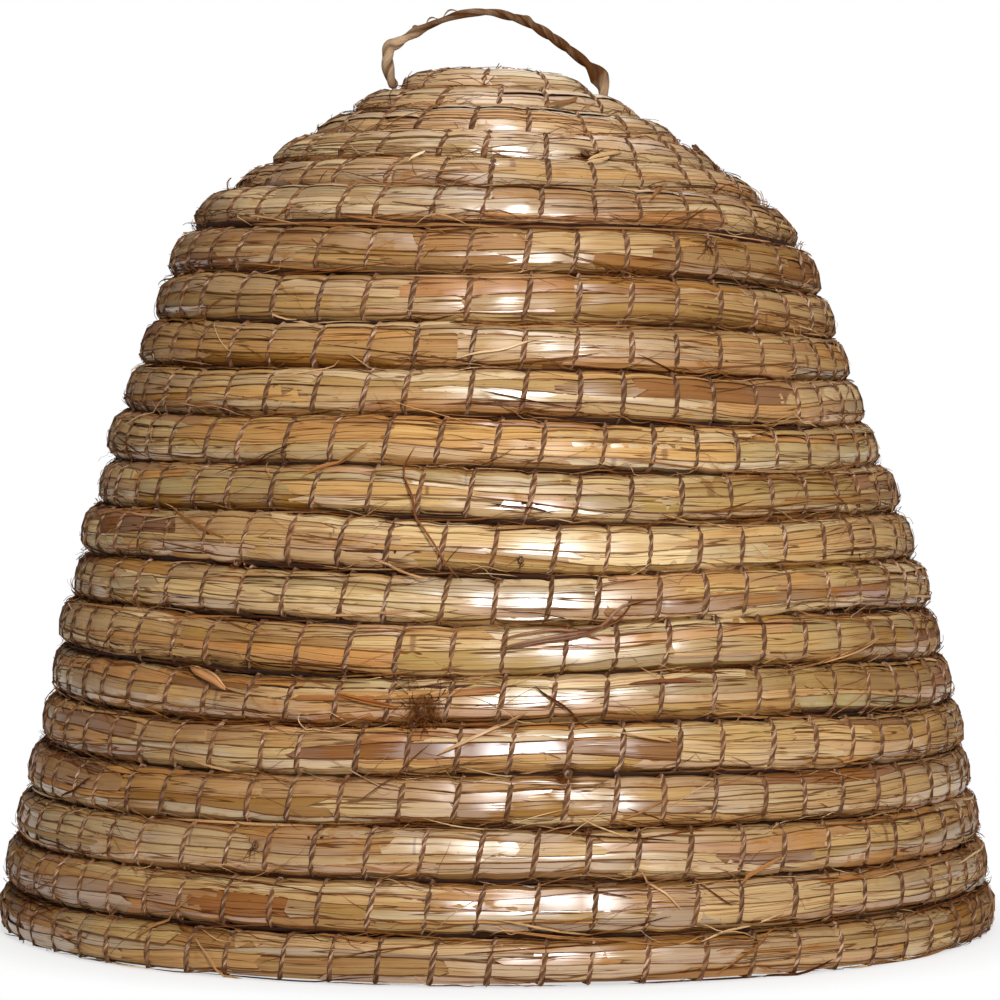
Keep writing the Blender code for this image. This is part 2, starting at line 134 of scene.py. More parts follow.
def coilRope():
    # the rope from its start on the crown to its tail at the rim, with the ways down and out
    places, middle, slopes = wallLine()
    whole, rimTurns = wall["ropeWidth"], (1 + wall["tailTaperTurns"]) / 2
    startTurns = (places[-1] - wall["startReach"]) / pitch + rimTurns
    perTurn = wall["pointsPerTurn"] * rope["finerSteps"]
    first = math.floor(startTurns * wall["pointsPerTurn"]) * rope["finerSteps"]
    turns = np.arange(first, wall["tailTipTurns"] * perTurn - 0.5, -1) / perTurn
    above = np.maximum(0, np.ceil(turns - 1.0))
    tail = np.clip((turns - above) / wall["tailTaperTurns"], 0, 1)
    level = places[-1] - np.where(above > 0, pitch * tail + (above - 1) * pitch, 0)
    even = places[-1] - pitch * (turns - rimTurns)
    blend = np.clip(1 - (turns - 1) / wall["levelledTurns"], 0, 1)
    edge = blend * level + (1 - blend) * even
    grown = np.minimum(1, (startTurns - turns) / wall["startTaperTurns"])
    started = wall["startWidth"] + (whole - wall["startWidth"]) * grown
    ended = pitch * np.clip(turns / wall["tailTaperTurns"], 0, 1) - wall["turnGap"]
    width = np.minimum(np.minimum(started, ended), whole)
    place = edge - pitch / 2 + (whole - width) / 2
    radius, height, slope = (np.interp(place, places, column)[:, None]
                             for column in (middle[:, 0], middle[:, 1], slopes))
    azimuth = (wall["tailEndAzimuth"] - 2 * math.pi * turns)[:, None]
    radial = np.hstack([np.cos(azimuth), np.sin(azimuth), 0 * azimuth])
    up = np.array([[0.0, 0.0, 1.0]])
    down = radial * np.cos(slope) + up * np.sin(slope)
    out = radial * -np.sin(slope) + up * np.cos(slope)
    line = radial * radius + up * height + out * ((whole - width) / 2 / math.cos(math.pi / 6))[:, None]
    line[:, 0] -= wall["crownLean"] * height[:, 0] / wall["strawHeight"]
    # a hand-made wall is uneven, but not where it stands on the floor or where the handle goes in
    line[:, 0] += np.interp(line[:, 2], *np.array(rope["sway"]).T)
    fromEnds = ((startTurns - turns, rope["evenAtStart"]), (turns, rope["evenAtRim"]))
    calm = math.prod(np.clip((far - even) / grows, 0, 1) for far, (even, grows) in fromEnds)[:, None]
    waves = np.random.default_rng(rope["seed"] + 1)
    rates, phases = waves.uniform(*rope["unevenRates"], (2, 4)), waves.uniform(0, 6.28, (2, 4))
    standOut = sum(np.sin(2 * math.pi * rates[0, k] * turns + phases[0, k]) for k in range(4)) / 2
    wander = sum(np.sin((k + 1) * azimuth[:, 0] + phases[1, k] + place * (14 + 9 * k)) for k in range(4)) / 2
    stands = out * (standOut * rope["unevenOut"])[:, None]
    line += calm * (stands + down * (wander * rope["unevenDown"])[:, None])
    return {"turns": turns, "line": line, "down": down, "out": out, "share": width / whole,
            "along": alongLine(line)}


coil = coilRope()
ropeLength = coil["along"][-1]
draw = np.random.default_rng(rope["seed"])

# where the stitches are along the rope, from its start
stitchCount = int(ropeLength / rope["stitchSpacing"]) + 3
stitchAlong = (np.arange(stitchCount) - 0.5) * rope["stitchSpacing"]
stitchAlong += draw.uniform(-0.5, 0.5, stitchCount) * rope["spacingVaries"] * 2
lastStitch = int(np.searchsorted(stitchAlong, ropeLength)) - 1
print(f"rope {ropeLength:.2f} m, {lastStitch} stitches")


def sectionOutline():
    # the rope's outside, evenly spaced: 0 is outermost, 0.25 below, 0.5 inside and 0.75 above
    points = rope["sectionSteps"] + 1
    angle = np.linspace(0, 2 * math.pi, points)
    power = 2 / rope["squareness"]
    out = np.sign(np.cos(angle)) * np.abs(np.cos(angle)) ** power * rope["outReach"]
    across = np.sign(np.sin(angle)) * np.abs(np.sin(angle)) ** power * rope["halfWidth"]
    line = np.column_stack([out, across])
    around = alongLine(line)[-1]
    line = evenly(line, points)
    way = np.gradient(np.vstack([line[-2], line, line[1]]), axis=0)[1:-1]
    return line, unit(np.column_stack([way[:, 1], -way[:, 0]])), around


section, sectionNormal, girth = sectionOutline()
lumpWaves = draw.uniform(0, 2 * math.pi, 6), draw.uniform(*rope["lumpRates"], 6)


def stitchAt(along):
    return np.interp(along, stitchAlong, np.arange(stitchCount))


def alongAt(stitch):
    return np.interp(stitch, np.arange(stitchCount), stitchAlong)


def turnsLeft(stitch):
    return np.interp(alongAt(stitch), coil["along"], coil["turns"])


def onCoil(name, along):
    # the coil's line, or its way down or out, at lengths along the rope
    return np.stack([np.interp(along, coil["along"], column) for column in coil[name].T], axis=-1)


def fromStep(step):
    # straws bend just before, at and just after each stitch, and halfway to the next
    beside = rope["besideStitch"]
    whole = np.floor(step / 4)
    return whole + np.interp(step - whole * 4, [0, 1, 2, 3, 4], [-beside, 0, beside, 0.5, 1 - beside])


def onRope(stitch, around, lift, raised=0.0):
    # places on the rope: how many stitches along, how far round its section, how high above it
    along = alongAt(stitch)
    lumps = sum(np.sin(phase + rate * stitch) for phase, rate in zip(*lumpWaves)) / 3
    fromStitch = np.abs(stitch - np.round(stitch))
    pinch = np.maximum(0, 1 - fromStitch / rope["besideStitch"])
    share = np.interp(along, coil["along"], coil["share"]) * (1 + rope["lumpiness"] * lumps)
    share = share * (1 + rope["bulge"] * (np.cos(2 * math.pi * (fromStitch - 0.5)) * 0.5))
    index, steps = (around % 1.0) * rope["sectionSteps"], np.arange(rope["sectionSteps"] + 1)
    shape = [np.interp(index, steps, column) for column in (*section.T, *sectionNormal.T)]
    out = shape[0] * share * (1 - rope["pinchOut"] * pinch) + shape[2] * lift
    down = shape[1] * share * (1 - rope["pinchAcross"] * pinch) + shape[3] * lift
    places = onCoil("line", along) + onCoil("out", along) * out[:, None]
    places += onCoil("down", along) * down[:, None]
    # the rim is flat on the floor, and what is laid on it there keeps most of its thickness
    level = rope["floorGap"] + np.maximum(rope["rimDepth"] - lift, 0) * rope["rimPressed"] + raised
    places[:, 2] = np.maximum(places[:, 2], level)
    return places


def onWall(stitch, down, lift, side=1.0):
    # places on the wall's skin: how far below a row's middle, and how high above the skin
    side = np.broadcast_to(side, stitch.shape)[..., None]
    along = alongAt(stitch)
    fromMiddle = np.abs((down + pitch / 2) % pitch - pitch / 2) / rope["halfWidth"]
    skin = rope["outReach"] * np.clip(1 - fromMiddle ** rope["squareness"], 0, 1) ** (1 / rope["squareness"])
    share = np.interp(along, coil["along"], coil["share"])
    height = np.maximum(skin, loose["grooveFloor"]) * share + lift
    out = onCoil("out", along) * side
    places = onCoil("line", along) + onCoil("down", along) * (down * share)[..., None]
    places += out * height[..., None]
    places[..., 2] = np.maximum(places[..., 2], loose["floorGap"])
    return places, out


def fromHex(text):
    parts = np.array([int(text[k:k + 2], 16) for k in (0, 2, 4)]) / 255
    return np.where(parts <= 0.04045, parts / 12.92, ((parts + 0.055) / 1.055) ** 2.4)


def tintsOf(rows):
    # colours, and how likely each is
    chances = np.array([chance for _, chance in rows], float)
    return np.array([fromHex(text) for text, _ in rows]), chances / chances.sum()


view = {
    "place": (0.0013, -1.827, 0.227),
    "aim": (0.0013, 0.0, 0.188),
    "lens": 147.0,
    "sensor": 36.0,
    "pixels": 1000,
}


def atPixel(x, y):
    # the stitch and the distance below a row's middle that the view shows at a pixel
    skin = coil["line"] + coil["out"] * rope["outReach"]
    front = skin[:, 1] < 0
    ahead = unit(np.array(view["aim"]) - np.array(view["place"]))
    above = np.cross([1.0, 0.0, 0.0], ahead)
    scale, half = view["pixels"] * view["lens"] / view["sensor"], view["pixels"] / 2
    depth = (skin - view["place"]) @ ahead
    across = half + scale * (skin - view["place"])[:, 0] / depth
    down = half - scale * (skin - view["place"]) @ above / depth
    nearest = np.argmin(np.where(front, (across - x) ** 2 + (down - y) ** 2, 1e9))
    tilt = -coil["down"][nearest] @ above
    below = (y - down[nearest]) * depth[nearest] / scale / tilt
    return np.array([float(stitchAt(coil["along"][nearest]))]), np.array([below])


class Shade:
    # a shader socket that Python's operators add Math nodes to
    def __init__(self, finish, socket):
        self.finish, self.socket = finish, socket

    def join(self, operation, other=0.0, turned=False, clamp=False):
        first, second = (other, self) if turned else (self, other)
        return self.finish.node("ShaderNodeMath", {"operation": operation, "use_clamp": clamp},
                                {0: first, 1: second})

    def __add__(self, other):
        return self.join("ADD", other)

    def __radd__(self, other):
        return self.join("ADD", other, True)

    def __sub__(self, other):
        return self.join("SUBTRACT", other)

    def __rsub__(self, other):
        return self.join("SUBTRACT", other, True)

    def __mul__(self, other):
        return self.join("MULTIPLY", other)

    def __rmul__(self, other):
        return self.join("MULTIPLY", other, True)

    def __abs__(self):
        return self.join("ABSOLUTE")

    def clamped(self):
        return self.join("ADD", clamp=True)


class Finish:
    # a material on the Principled shader
    def __init__(self, name):
        self.material = bpy.data.materials.new(name)
        self.material.use_nodes = True
        self.tree = self.material.node_tree
        self.shader = self.tree.nodes["Principled BSDF"]

    def node(self, kind, settings=None, inputs=None, output=0):
        made = self.tree.nodes.new(kind)
        for key, value in (settings or {}).items():
            if key == "stops":
                ramp = made.color_ramp
                while len(ramp.elements) < len(value):
                    ramp.elements.new(0.5)
                for stop, (place, text) in zip(ramp.elements, value):
                    stop.position = place
                    stop.color = (*fromHex(text), 1.0)
            else:
                setattr(made, key, value)
        for key, value in (inputs or {}).items():
            self.feed(made.inputs[key], value)
        return Shade(self, made.outputs[output])

    def feed(self, socket, value):
        if isinstance(value, Shade):
            self.tree.links.new(value.socket, socket)
        elif socket.type == "RGBA" and len(value) == 3:
            socket.default_value = (*value, 1.0)
        else:
            socket.default_value = value

    def set(self, **inputs):
        for key, value in inputs.items():
            self.feed(self.shader.inputs[key.replace("_", " ")], value)

    def attribute(self, name):
        return self.node("ShaderNodeAttribute", {"attribute_name": name}, output="Color")

    def parts(self, colour):
        split = self.node("ShaderNodeSeparateColor", inputs={0: colour}).socket.node
        return [Shade(self, split.outputs[k]) for k in range(3)]

    def vector(self, x, y, z):
        return self.node("ShaderNodeCombineXYZ", inputs={0: x, 1: y, 2: z})

    def uv(self, name):
        split = self.node("ShaderNodeSeparateXYZ", inputs={0: self.node("ShaderNodeUVMap", {"uv_map": name})})
        return [Shade(self, split.socket.node.outputs[k]) for k in range(2)]

    def place(self):
        return self.node("ShaderNodeTexCoord", output="Object")

    def noise(self, vector, detail, rough, scale=1.0):
        return self.node("ShaderNodeTexNoise", inputs={
            "Vector": vector, "Scale": scale, "Detail": detail, "Roughness": rough})

    def band(self, value, low, high, toLow=0.0, toHigh=1.0):
        return self.node("ShaderNodeMapRange", {"interpolation_type": "SMOOTHSTEP"},
                         {0: value, 1: low, 2: high, 3: toLow, 4: toHigh})

    def mix(self, share, first, second, how="MIX"):
        mixed = self.tree.nodes.new("ShaderNodeMix")
        mixed.data_type = "RGBA"
        mixed.blend_type = how
        for socket, value in ((mixed.inputs[0], share), (mixed.inputs[6], first), (mixed.inputs[7], second)):
            self.feed(socket, fromHex(value) if isinstance(value, str) else value)
        return Shade(self, mixed.outputs[2])

    def bump(self, height, distance, strength):
        self.set(Normal=self.node("ShaderNodeBump", inputs={"Height": height, "Distance": distance,
                                                            "Strength": strength}))


def straight(item):
    # puts an object's place into its mesh
    bpy.ops.object.select_all(action="DESELECT")
    item.select_set(True)
    bpy.context.view_layer.objects.active = item
    bpy.ops.object.transform_apply(location=True, rotation=True, scale=True)


def modelStrip(steps, corners, flat=False):
    # a length of straw or twine along X: a ring of points for each unit, and a section of radius 1
    bpy.ops.object.select_all(action="DESELECT")
    bpy.ops.mesh.primitive_circle_add(vertices=corners, radius=1, fill_type="NGON",
                                      rotation=(0, math.pi / 2, 0))
    strip = bpy.context.object
    straight(strip)
    bpy.ops.object.mode_set(mode="EDIT")
    if flat:
        # without its lowest corner the section has a flat back
        bpy.ops.mesh.select_all(action="DESELECT")
        bpy.ops.object.mode_set(mode="OBJECT")
        for point in strip.data.vertices:
            point.select = bool(point.co.z < -0.5)
        bpy.ops.object.mode_set(mode="EDIT")
        bpy.ops.mesh.dissolve_verts()
    bpy.ops.mesh.select_all(action="SELECT")
    for step in range(steps):
        bpy.ops.mesh.extrude_region_move(TRANSFORM_OT_translate={"value": (1, 0, 0)})
    bpy.ops.mesh.select_all(action="SELECT")
    bpy.ops.mesh.normals_make_consistent(inside=False)
    bpy.ops.object.mode_set(mode="OBJECT")
    points = np.array([point.co[:] for point in strip.data.vertices])
    faces = [tuple(face.vertices) for face in strip.data.polygons]
    bpy.data.objects.remove(strip)
    return points, faces


class Laid:
    # shapes that are copied along the rope, gathered until they become one piece
    def __init__(self):
        self.points, self.faces, self.maps, self.colours, self.count = [], [], {}, {}, 0

    def add(self, points, faces, maps, colours):
        self.points.append(points)
        self.faces += [tuple(index + self.count for index in face) for face in faces]
        self.count += len(points)
        for store, values in ((self.maps, maps), (self.colours, colours)):
            for name, rows in values.items():
                store.setdefault(name, []).append(rows)

    def build(self, name, finish, wrapped):
        mesh = bpy.data.meshes.new(name)
        mesh.from_pydata(np.vstack(self.points), [], self.faces)
        corner = np.empty(len(mesh.loops), int)
        mesh.loops.foreach_get("vertex_index", corner)
        owner = np.repeat(np.arange(len(mesh.polygons)), [len(face) for face in self.faces])
        for layer, rows in self.maps.items():
            values = np.vstack(rows)[corner]
            if layer == wrapped:
                # where a face closes the ring, its low side is one round further
                faceHigh = np.zeros(len(mesh.polygons))
                np.maximum.at(faceHigh, owner, values[:, 1])
                values[:, 1] += np.where(faceHigh[owner] - values[:, 1] > 0.5, 1.0, 0.0)
            mesh.uv_layers.new(name=layer).data.foreach_set("uv", values.ravel())
        for layer, rows in self.colours.items():
            attribute = mesh.color_attributes.new(layer, "FLOAT_COLOR", "POINT")
            attribute.data.foreach_set("color", np.vstack(rows).astype(np.float32).ravel())
        mesh.materials.append(finish.material)
        piece = bpy.data.objects.new(name, mesh)
        bpy.context.scene.collection.objects.link(piece)
        mesh.validate()
        return piece

    def lay(self, name, finish, smooth, body, slot, replaced=None, wrapped=None):
        # the finished piece: how far its edges are smoothed, what it rides on and which node it stands for
        piece = self.build(name, finish, wrapped)
        bpy.ops.object.select_all(action="DESELECT")
        bpy.context.view_layer.objects.active = piece
        piece.select_set(True)
        bpy.ops.object.shade_smooth_by_angle(angle=math.radians(smooth))
        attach(piece, body)
        if replaced:
            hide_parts(replaced)
        return len(piece.data.polygons)


def grain(along, across, seed):
    # the map of a straw's pattern, where each straw has a part of its own
    return np.column_stack([along * 50 + seed * 40, across * 50 + seed * 90])


straws = {
    "lanes": 13,
    "laneWaver": 0.46,
    "laneRates": ([0.15, 0.35, 0.9], [0.35, 0.8, 1.6]),
    "laneWaves": [1.0, 0.7, 0.35],
    "wavesHigh": 1.5,            # how high the waves are together, about
    "fromEnds": (0.8, 0.5),      # where the straws start and end on the rope, in steps
    "stagger": 16,               # how many steps apart the lanes' first straws may start
    "narrowest": 0.012,
    "thickness": 0.0011,
    "ridge": (0.05, 0.42),       # how far a straw's edges lie below its middle, as shares of the thickness
    "lengths": [10, 16, 22],     # in quarters of the way from stitch to stitch
    "lengthChances": [0.25, 0.40, 0.35],
    "shortest": 3,
    "endWidths": [0.12, 0.5, 0.9],
    "endChances": [0.25, 0.25, 0.5],
    "overlap": 1.05,
    "overlapVaries": (0.97, 1.10),
    "endsOverlap": (1.2, 3.4),
    "bend": 0.00018,
    "bendRate": 2.1,
    "roll": 0.00026,
    "tuckedEnds": (0.0002, 0.7),     # how much lower a straw's ends lie: always, and as a share of its lift
    "rimUneven": 0.0003,
    "lifts": [0.0, 0.00015, 0.0004],
    # straws across the lanes: how many for each in a lane, half width, lift and drift
    "extraShare": 0.22,
    "extraHalf": (0.006, 0.030),
    "extraLift": (0.0004, 0.0009),
    "extraDrift": 0.005,
    # straws within this share of the round aren't laid between two rows
    "hidden": 0.045,
    "rowsBelow": 1.2,            # a row follows below where more turns than this are left
    "rowsAbove": 20.4,           # and one lies above where fewer are left
    "pressedByHandle": 0.0013,
    "pressedReach": [0.010, 0.024],  # how far from the handle's foot that fades
    "pieces": 8,
    # tints and how many straws of a hundred have them
    "tints": [("ccb488", 20), ("dcd2b0", 20), ("c9a878", 14), ("c4ba92", 14), ("c99f6a", 6), ("b2a36e", 5),
              ("a4863e", 4), ("a2764a", 4), ("845a32", 2), ("e8e2ca", 10), ("a8a480", 2)],
    "blend": 0.4,
    "brightness": (0.84, 1.08),
    "warmth": (0.97, 0.885, 0.70),
    # height, the tone that the straws lean to there, and how far
    "tones": [(0.00, "80501f", 0.38), (0.08, "80501f", 0.18), (0.14, "ccb284", 0.0),
              (0.215, "ccb284", 0.0), (0.24, "825222", 0.38), (0.30, "825222", 0.38),
              (0.335, "f2e4c8", 0.24), (0.38, "f2e4c8", 0.50)],
    "leanVaries": (0.5, 1.5),
    "ringed": 0.20,              # straws with a growth ring
    # from a row's face to its groove: painted shade, as how much of the straws' colour is left and how much
    # less green and blue, and how much gloss is left
    "groovePlaces": [0.0, 0.10, 0.16, 0.22, 0.27],
    "paintedGrooveShade": [1.0, 1.0, 0.86, 0.60, 0.42],
    "grooveShadeWarmth": [0.70, 1.05, 1.40],
    "grooveGloss": [1.0, 1.0, 0.7, 0.2, 0.0],
    # the straws are duller at the shoulder: heights and how much gloss is left
    "glossHeights": ([0.225, 0.245, 0.300, 0.320], [1.0, 0.62, 0.62, 1.0]),
    # brown stains at pixels of the view, and their size
    "stains": [((424, 712), 0.010), ((568, 778), 0.007), ((228, 563), 0.006), ((576, 153), 0.005)],
    "seed": 7,
}
noRing = 2.0     # along a straw, so never reached


def toHandle(places):
    # how far it is to the handle's right foot, where the cord swings low over the wall
    return np.linalg.norm(places - np.array(handle["rightFoot"]), axis=-1)


def pressed(places):
    # how far the cord has pressed the straws and stitches down there
    return np.interp(toHandle(places), straws["pressedReach"], [straws["pressedByHandle"], 0])


def layOneStraw(target, shapes, steps, start, span, centre, half, lift, roll, tint, marks, pick):
    # copies a modelled straw onto the rope: its middle line and half width are functions of the stitch
    points, faces = shapes[steps]
    x, y, z = points.T
    cut = pick.uniform(-0.5, 0.5, 2)
    endWidths = pick.choice(straws["endWidths"], 2, p=straws["endChances"])
    atEnd = [x < 0.5, x > steps - 0.5]
    step = start + (x + sum(end * y * slant for end, slant in zip(atEnd, cut))) * span / steps
    stitch = fromStep(step)
    middle, width = centre(stitch), half(stitch)
    for end, size in zip(atEnd, endWidths):
        width = np.where(end, width * size, width)
    bend, phase = pick.uniform(0, straws["bend"]), pick.uniform(0, 6)
    around = middle + y * width
    ridge = pick.uniform(*straws["ridge"]) * np.abs(y)
    tuck, tuckedLift = straws["tuckedEnds"]
    up = lift - ridge * straws["thickness"] + roll * y
    up = up + bend * np.sin(stitch * straws["bendRate"] + phase) * y
    up = up - (atEnd[0] + atEnd[1]) * (tuck + lift * tuckedLift)
    up = up - pressed(onRope(stitch, around, up))
    places = onRope(stitch, around, up, straws["rimUneven"] * marks[0])
    along = alongAt(stitch)
    edge = np.column_stack([x / steps, (y + 1) / 2])
    fromFace = np.abs((around + 0.5) % 1.0 - 0.5)
    # darker and browner towards the groove between rows: painted shade
    light = np.interp(fromFace, straws["groovePlaces"], straws["paintedGrooveShade"])[:, None]
    tints = np.column_stack([tint * light ** np.array(straws["grooveShadeWarmth"]), light])
    looks = np.tile(marks, (len(points), 1))
    looks[:, 2] *= np.interp(fromFace, straws["groovePlaces"], straws["grooveGloss"])
    looks[:, 2] *= np.interp(places[:, 2], *straws["glossHeights"])
    maps = {"grain": grain(along - along.min(), y * width * girth, marks[0]), "edge": edge}
    target.add(places, faces, maps, {"tint": tints, "marks": looks})


def layStraws(finish):
    pick = np.random.default_rng(straws["seed"])
    shapes = {steps: modelStrip(steps, 4, flat=True) for steps in straws["lengths"]}
    tints, chances = tintsOf(straws["tints"])
    heights, tones, leans = zip(*((height, fromHex(tone), lean) for height, tone, lean in straws["tones"]))
    lanes = straws["lanes"]
    phases = pick.uniform(0, 2 * math.pi, (lanes, 3))
    rates = pick.uniform(*straws["laneRates"], (lanes, 3))
    firstStep = 4 * float(stitchAt(0.0)) + straws["fromEnds"][0]
    lastStep = 4 * float(stitchAt(ropeLength)) - straws["fromEnds"][1]
    targets = [Laid() for _ in range(straws["pieces"])]

    def edgeOf(lane, stitch):
        waves = sum(np.sin(phases[lane % lanes, k] + rates[lane % lanes, k] * stitch) * straws["laneWaves"][k]
                    for k in range(3))
        return (lane + straws["laneWaver"] * waves / straws["wavesHigh"]) / lanes

    def newTint(stitch):
        tint = tints[pick.choice(len(tints), p=chances)]
        other = tints[pick.choice(len(tints), p=chances)]
        share = pick.uniform(0, straws["blend"])
        tint = (tint * (1 - share) + other * share) * pick.uniform(*straws["brightness"]) * straws["warmth"]
        height = np.interp(float(alongAt(stitch)), coil["along"], coil["line"][:, 2])
        lean = np.interp(height, heights, leans) * pick.uniform(*straws["leanVaries"])
        tone = np.array([np.interp(height, heights, part) for part in np.array(tones).T])
        return tint * (1 - lean) + tone * lean

    def newMarks():
        ring = pick.uniform(0.1, 0.9) if pick.random() < straws["ringed"] else noRing
        return [pick.random(), ring, pick.random() ** 0.8, pick.random()]

    def covered(centre, stitch):
        # straws between two turns of the rope can't be seen
        turns = float(turnsLeft(np.array([stitch]))[0])
        below, above = abs(centre - 0.25) < straws["hidden"], abs(centre - 0.75) < straws["hidden"]
        return (below and turns > straws["rowsBelow"]) or (above and turns < straws["rowsAbove"])

    def layOne(steps, start, span, centre, half, lift):
        number = min(int(start / lastStep * straws["pieces"]), straws["pieces"] - 1)
        layOneStraw(targets[number], shapes, steps, start, span, centre, half, lift,
                    pick.normal(0, straws["roll"]), newTint(start / 4), newMarks(), pick)

    count = 0
    for lane in range(lanes):
        step = firstStep - pick.integers(0, straws["stagger"])
        while step < lastStep - straws["shortest"]:
            steps = int(pick.choice(straws["lengths"], p=straws["lengthChances"]))
            start = max(step, firstStep)
            span = min(step + steps, lastStep) - start
            if span > straws["shortest"] and not covered((lane + 0.5) / lanes, (start + span / 2) / 4):
                over = straws["overlap"] * pick.uniform(*straws["overlapVaries"])
                layOne(steps, start, span,
                       lambda stitch: (edgeOf(lane, stitch) + edgeOf(lane + 1, stitch)) / 2,
                       lambda stitch: np.maximum(edgeOf(lane + 1, stitch) - edgeOf(lane, stitch),
                                                 straws["narrowest"]) / 2 * over,
                       pick.choice(straws["lifts"]))
                count += 1
            step += steps - pick.uniform(*straws["endsOverlap"])
    for _ in range(int(count * straws["extraShare"])):
        steps = int(pick.choice(straws["lengths"]))
        start = pick.uniform(firstStep, lastStep - steps)
        at, drift = pick.random(), pick.normal(0, straws["extraDrift"])
        if not covered(at, (start + steps / 2) / 4):
            thin = pick.uniform(*straws["extraHalf"])
            layOne(steps, start, steps, lambda stitch: at + drift * (stitch - start / 4),
                   lambda stitch: thin * np.ones_like(stitch), pick.uniform(*straws["extraLift"]))
            count += 1
    faces = sum(target.lay(f"straws_{number}", finish, 26, "skep", "straw", "straw_rope")
                for number, target in enumerate(targets, 1))
    print(count, "straws,", faces, "faces")


def strawFinish():
    finish = Finish("strawFinish")
    u, v = finish.uv("grain")
    share, edge = finish.uv("edge")
    tint = finish.attribute("tint")
    seed, ringPlace, gloss = finish.parts(finish.attribute("marks"))
    place = finish.place()
    weather = finish.noise(place, 3.0, 0.6, scale=11.0)
    streak = finish.noise(finish.vector(u * 0.30, v * 12.0, seed * 30.0), 3.0, 0.6)
    fine = finish.noise(finish.vector(u * 0.9, v * 44.0, seed * 11.0), 2.0, 0.65)
    crackLine = finish.noise(finish.vector(u * 0.16, v * 5.0, seed * 19.0 + 7.0), 2.0, 0.45)
    blotch = finish.noise(finish.vector(u * 1.3, v * 3.0, seed * 17.0), 3.0, 0.55)
    speck = finish.noise(finish.vector(u * 9.0, v * 16.0, seed * 5.0), 1.0, 0.5)
    hairLine = finish.noise(finish.vector(u * 0.26, v * 17.0, seed * 23.0 + 3.0), 2.0, 0.5)
    # the straw's own colour, streaked along it
    colour = finish.mix(1.0, tint, finish.mix(streak, (0.75, 0.49, 0.28), (1.09, 1.16, 1.20)), "MULTIPLY")
    colour = finish.mix(1.0, colour, finish.mix(fine, (0.84, 0.66, 0.49), (1.10, 1.15, 1.18)), "MULTIPLY")
    colour = finish.mix(finish.band(streak, 0.42, 0.28) * 0.50, colour, "84491f")
    # blotches, weathering, and stains where the twine's knots are
    stain = finish.band(blotch, 0.58, 0.74)
    colour = finish.mix(stain * 0.45, colour, "94602f")
    colour = finish.mix(finish.band(weather, 0.52, 0.72) * 0.35, colour, "7d5228")
    dull = stain
    for pixel, size in straws["stains"]:
        centre = tuple(onWall(*atPixel(*pixel), np.zeros(1))[0][0])
        away = finish.node("ShaderNodeVectorMath", {"operation": "DISTANCE"}, {0: place, 1: centre}, output=1)
        near = finish.band(away + (streak - 0.5) * 0.012, size, size * 0.35)
        colour = finish.mix(near * 0.85, colour, "5f371a")
        dull = (dull + near).clamped()
    # cracks along it, specks, a growth ring, and darker edges, which are painted shade where neighbouring
    # straws meet
    crack = finish.band(abs(crackLine - 0.5), 0.016, 0.005) * finish.band(fine, 0.30, 0.50)
    ring = finish.band(abs(share - ringPlace) + (fine - 0.5) * 0.012, 0.014, 0.004)
    rim = finish.band(abs(edge - 0.5) + (streak - 0.5) * 0.16, 0.405, 0.47)
    colour = finish.mix(finish.band(abs(hairLine - 0.5), 0.030, 0.010) * 0.50, colour, "7c4019")
    colour = finish.mix(crack * 0.80, colour, "4a1d08")
    colour = finish.mix(finish.band(speck, 0.74, 0.80) * 0.6, colour, "4a2a14")
    colour = finish.mix(ring * 0.6, colour, "6a4022")
    # painted shade along the straw's edges
    colour = finish.mix(rim * 0.80, colour, "54260d")
    # the gloss lies in combed patches
    comb = finish.noise(finish.vector(u * 0.35, v * 40.0, seed * 9.0), 2.0, 0.6)
    patch = finish.noise(finish.vector(u * 0.45, seed * 50.0, 0.0), 1.0, 0.5)
    satin = finish.band(patch + (comb - 0.5) * 0.45, 0.40, 0.44)
    shine = finish.band(gloss, 0.25, 0.50) * satin * 0.78 + finish.band(gloss, 0.02, 0.12) * 0.12
    finish.set(Base_Color=colour, Roughness=0.60 - gloss * 0.12 + stain * 0.15 + crack * 0.2,
               Coat_Weight=shine * (1.0 - dull) * (1.0 - crack) * (1.0 - rim),
               Coat_Roughness=0.39, Coat_IOR=2.5, IOR=1.4, Specular_IOR_Level=0.05)
    finish.bump(streak * 0.5 + fine * 0.45 - crack * 0.8 + ring * 0.5, 0.00030, 0.7)
    return finish


def coreShadeFinish():
    finish = Finish("ropeCoreShadeFinish")
    u, v = finish.uv("grain")
    streak = finish.noise(finish.vector(u * 0.6, v * 30.0, 0.0), 3.0, 0.6)
    # near-black browns: painted shade where the rope's inside shows between straws and in the grooves
    stops = [(0.3, "260e03"), (0.5, "4a230b"), (0.72, "7a4820")]
    finish.set(Base_Color=finish.node("ShaderNodeValToRGB", {"stops": stops}, {0: streak}), Roughness=0.8)
    finish.bump(streak, 0.0008, 0.9)
    return finish


core = {
    "sides": 14,
    "sunk": 0.00075,
    "fromEnds": (0.9, 0.3),      # in steps
    "pressedMore": 1.1,
    "packedTurns": 1.1,          # where fewer turns are left, none is below
    "packingSides": 8,
    "packingDeep": 0.0062,
    "packingHigh": 0.0013,
    "packingFloor": 0.0022,
}


def tube(rings, sides):
    # faces of a closed tube with this many rings of points
    faces = [(a + k, a + (k + 1) % sides, a + sides + (k + 1) % sides, a + sides + k)
             for a in range(0, (rings - 1) * sides, sides) for k in range(sides)]
    return faces + [tuple(range(sides))[::-1], tuple(range((rings - 1) * sides, rings * sides))]


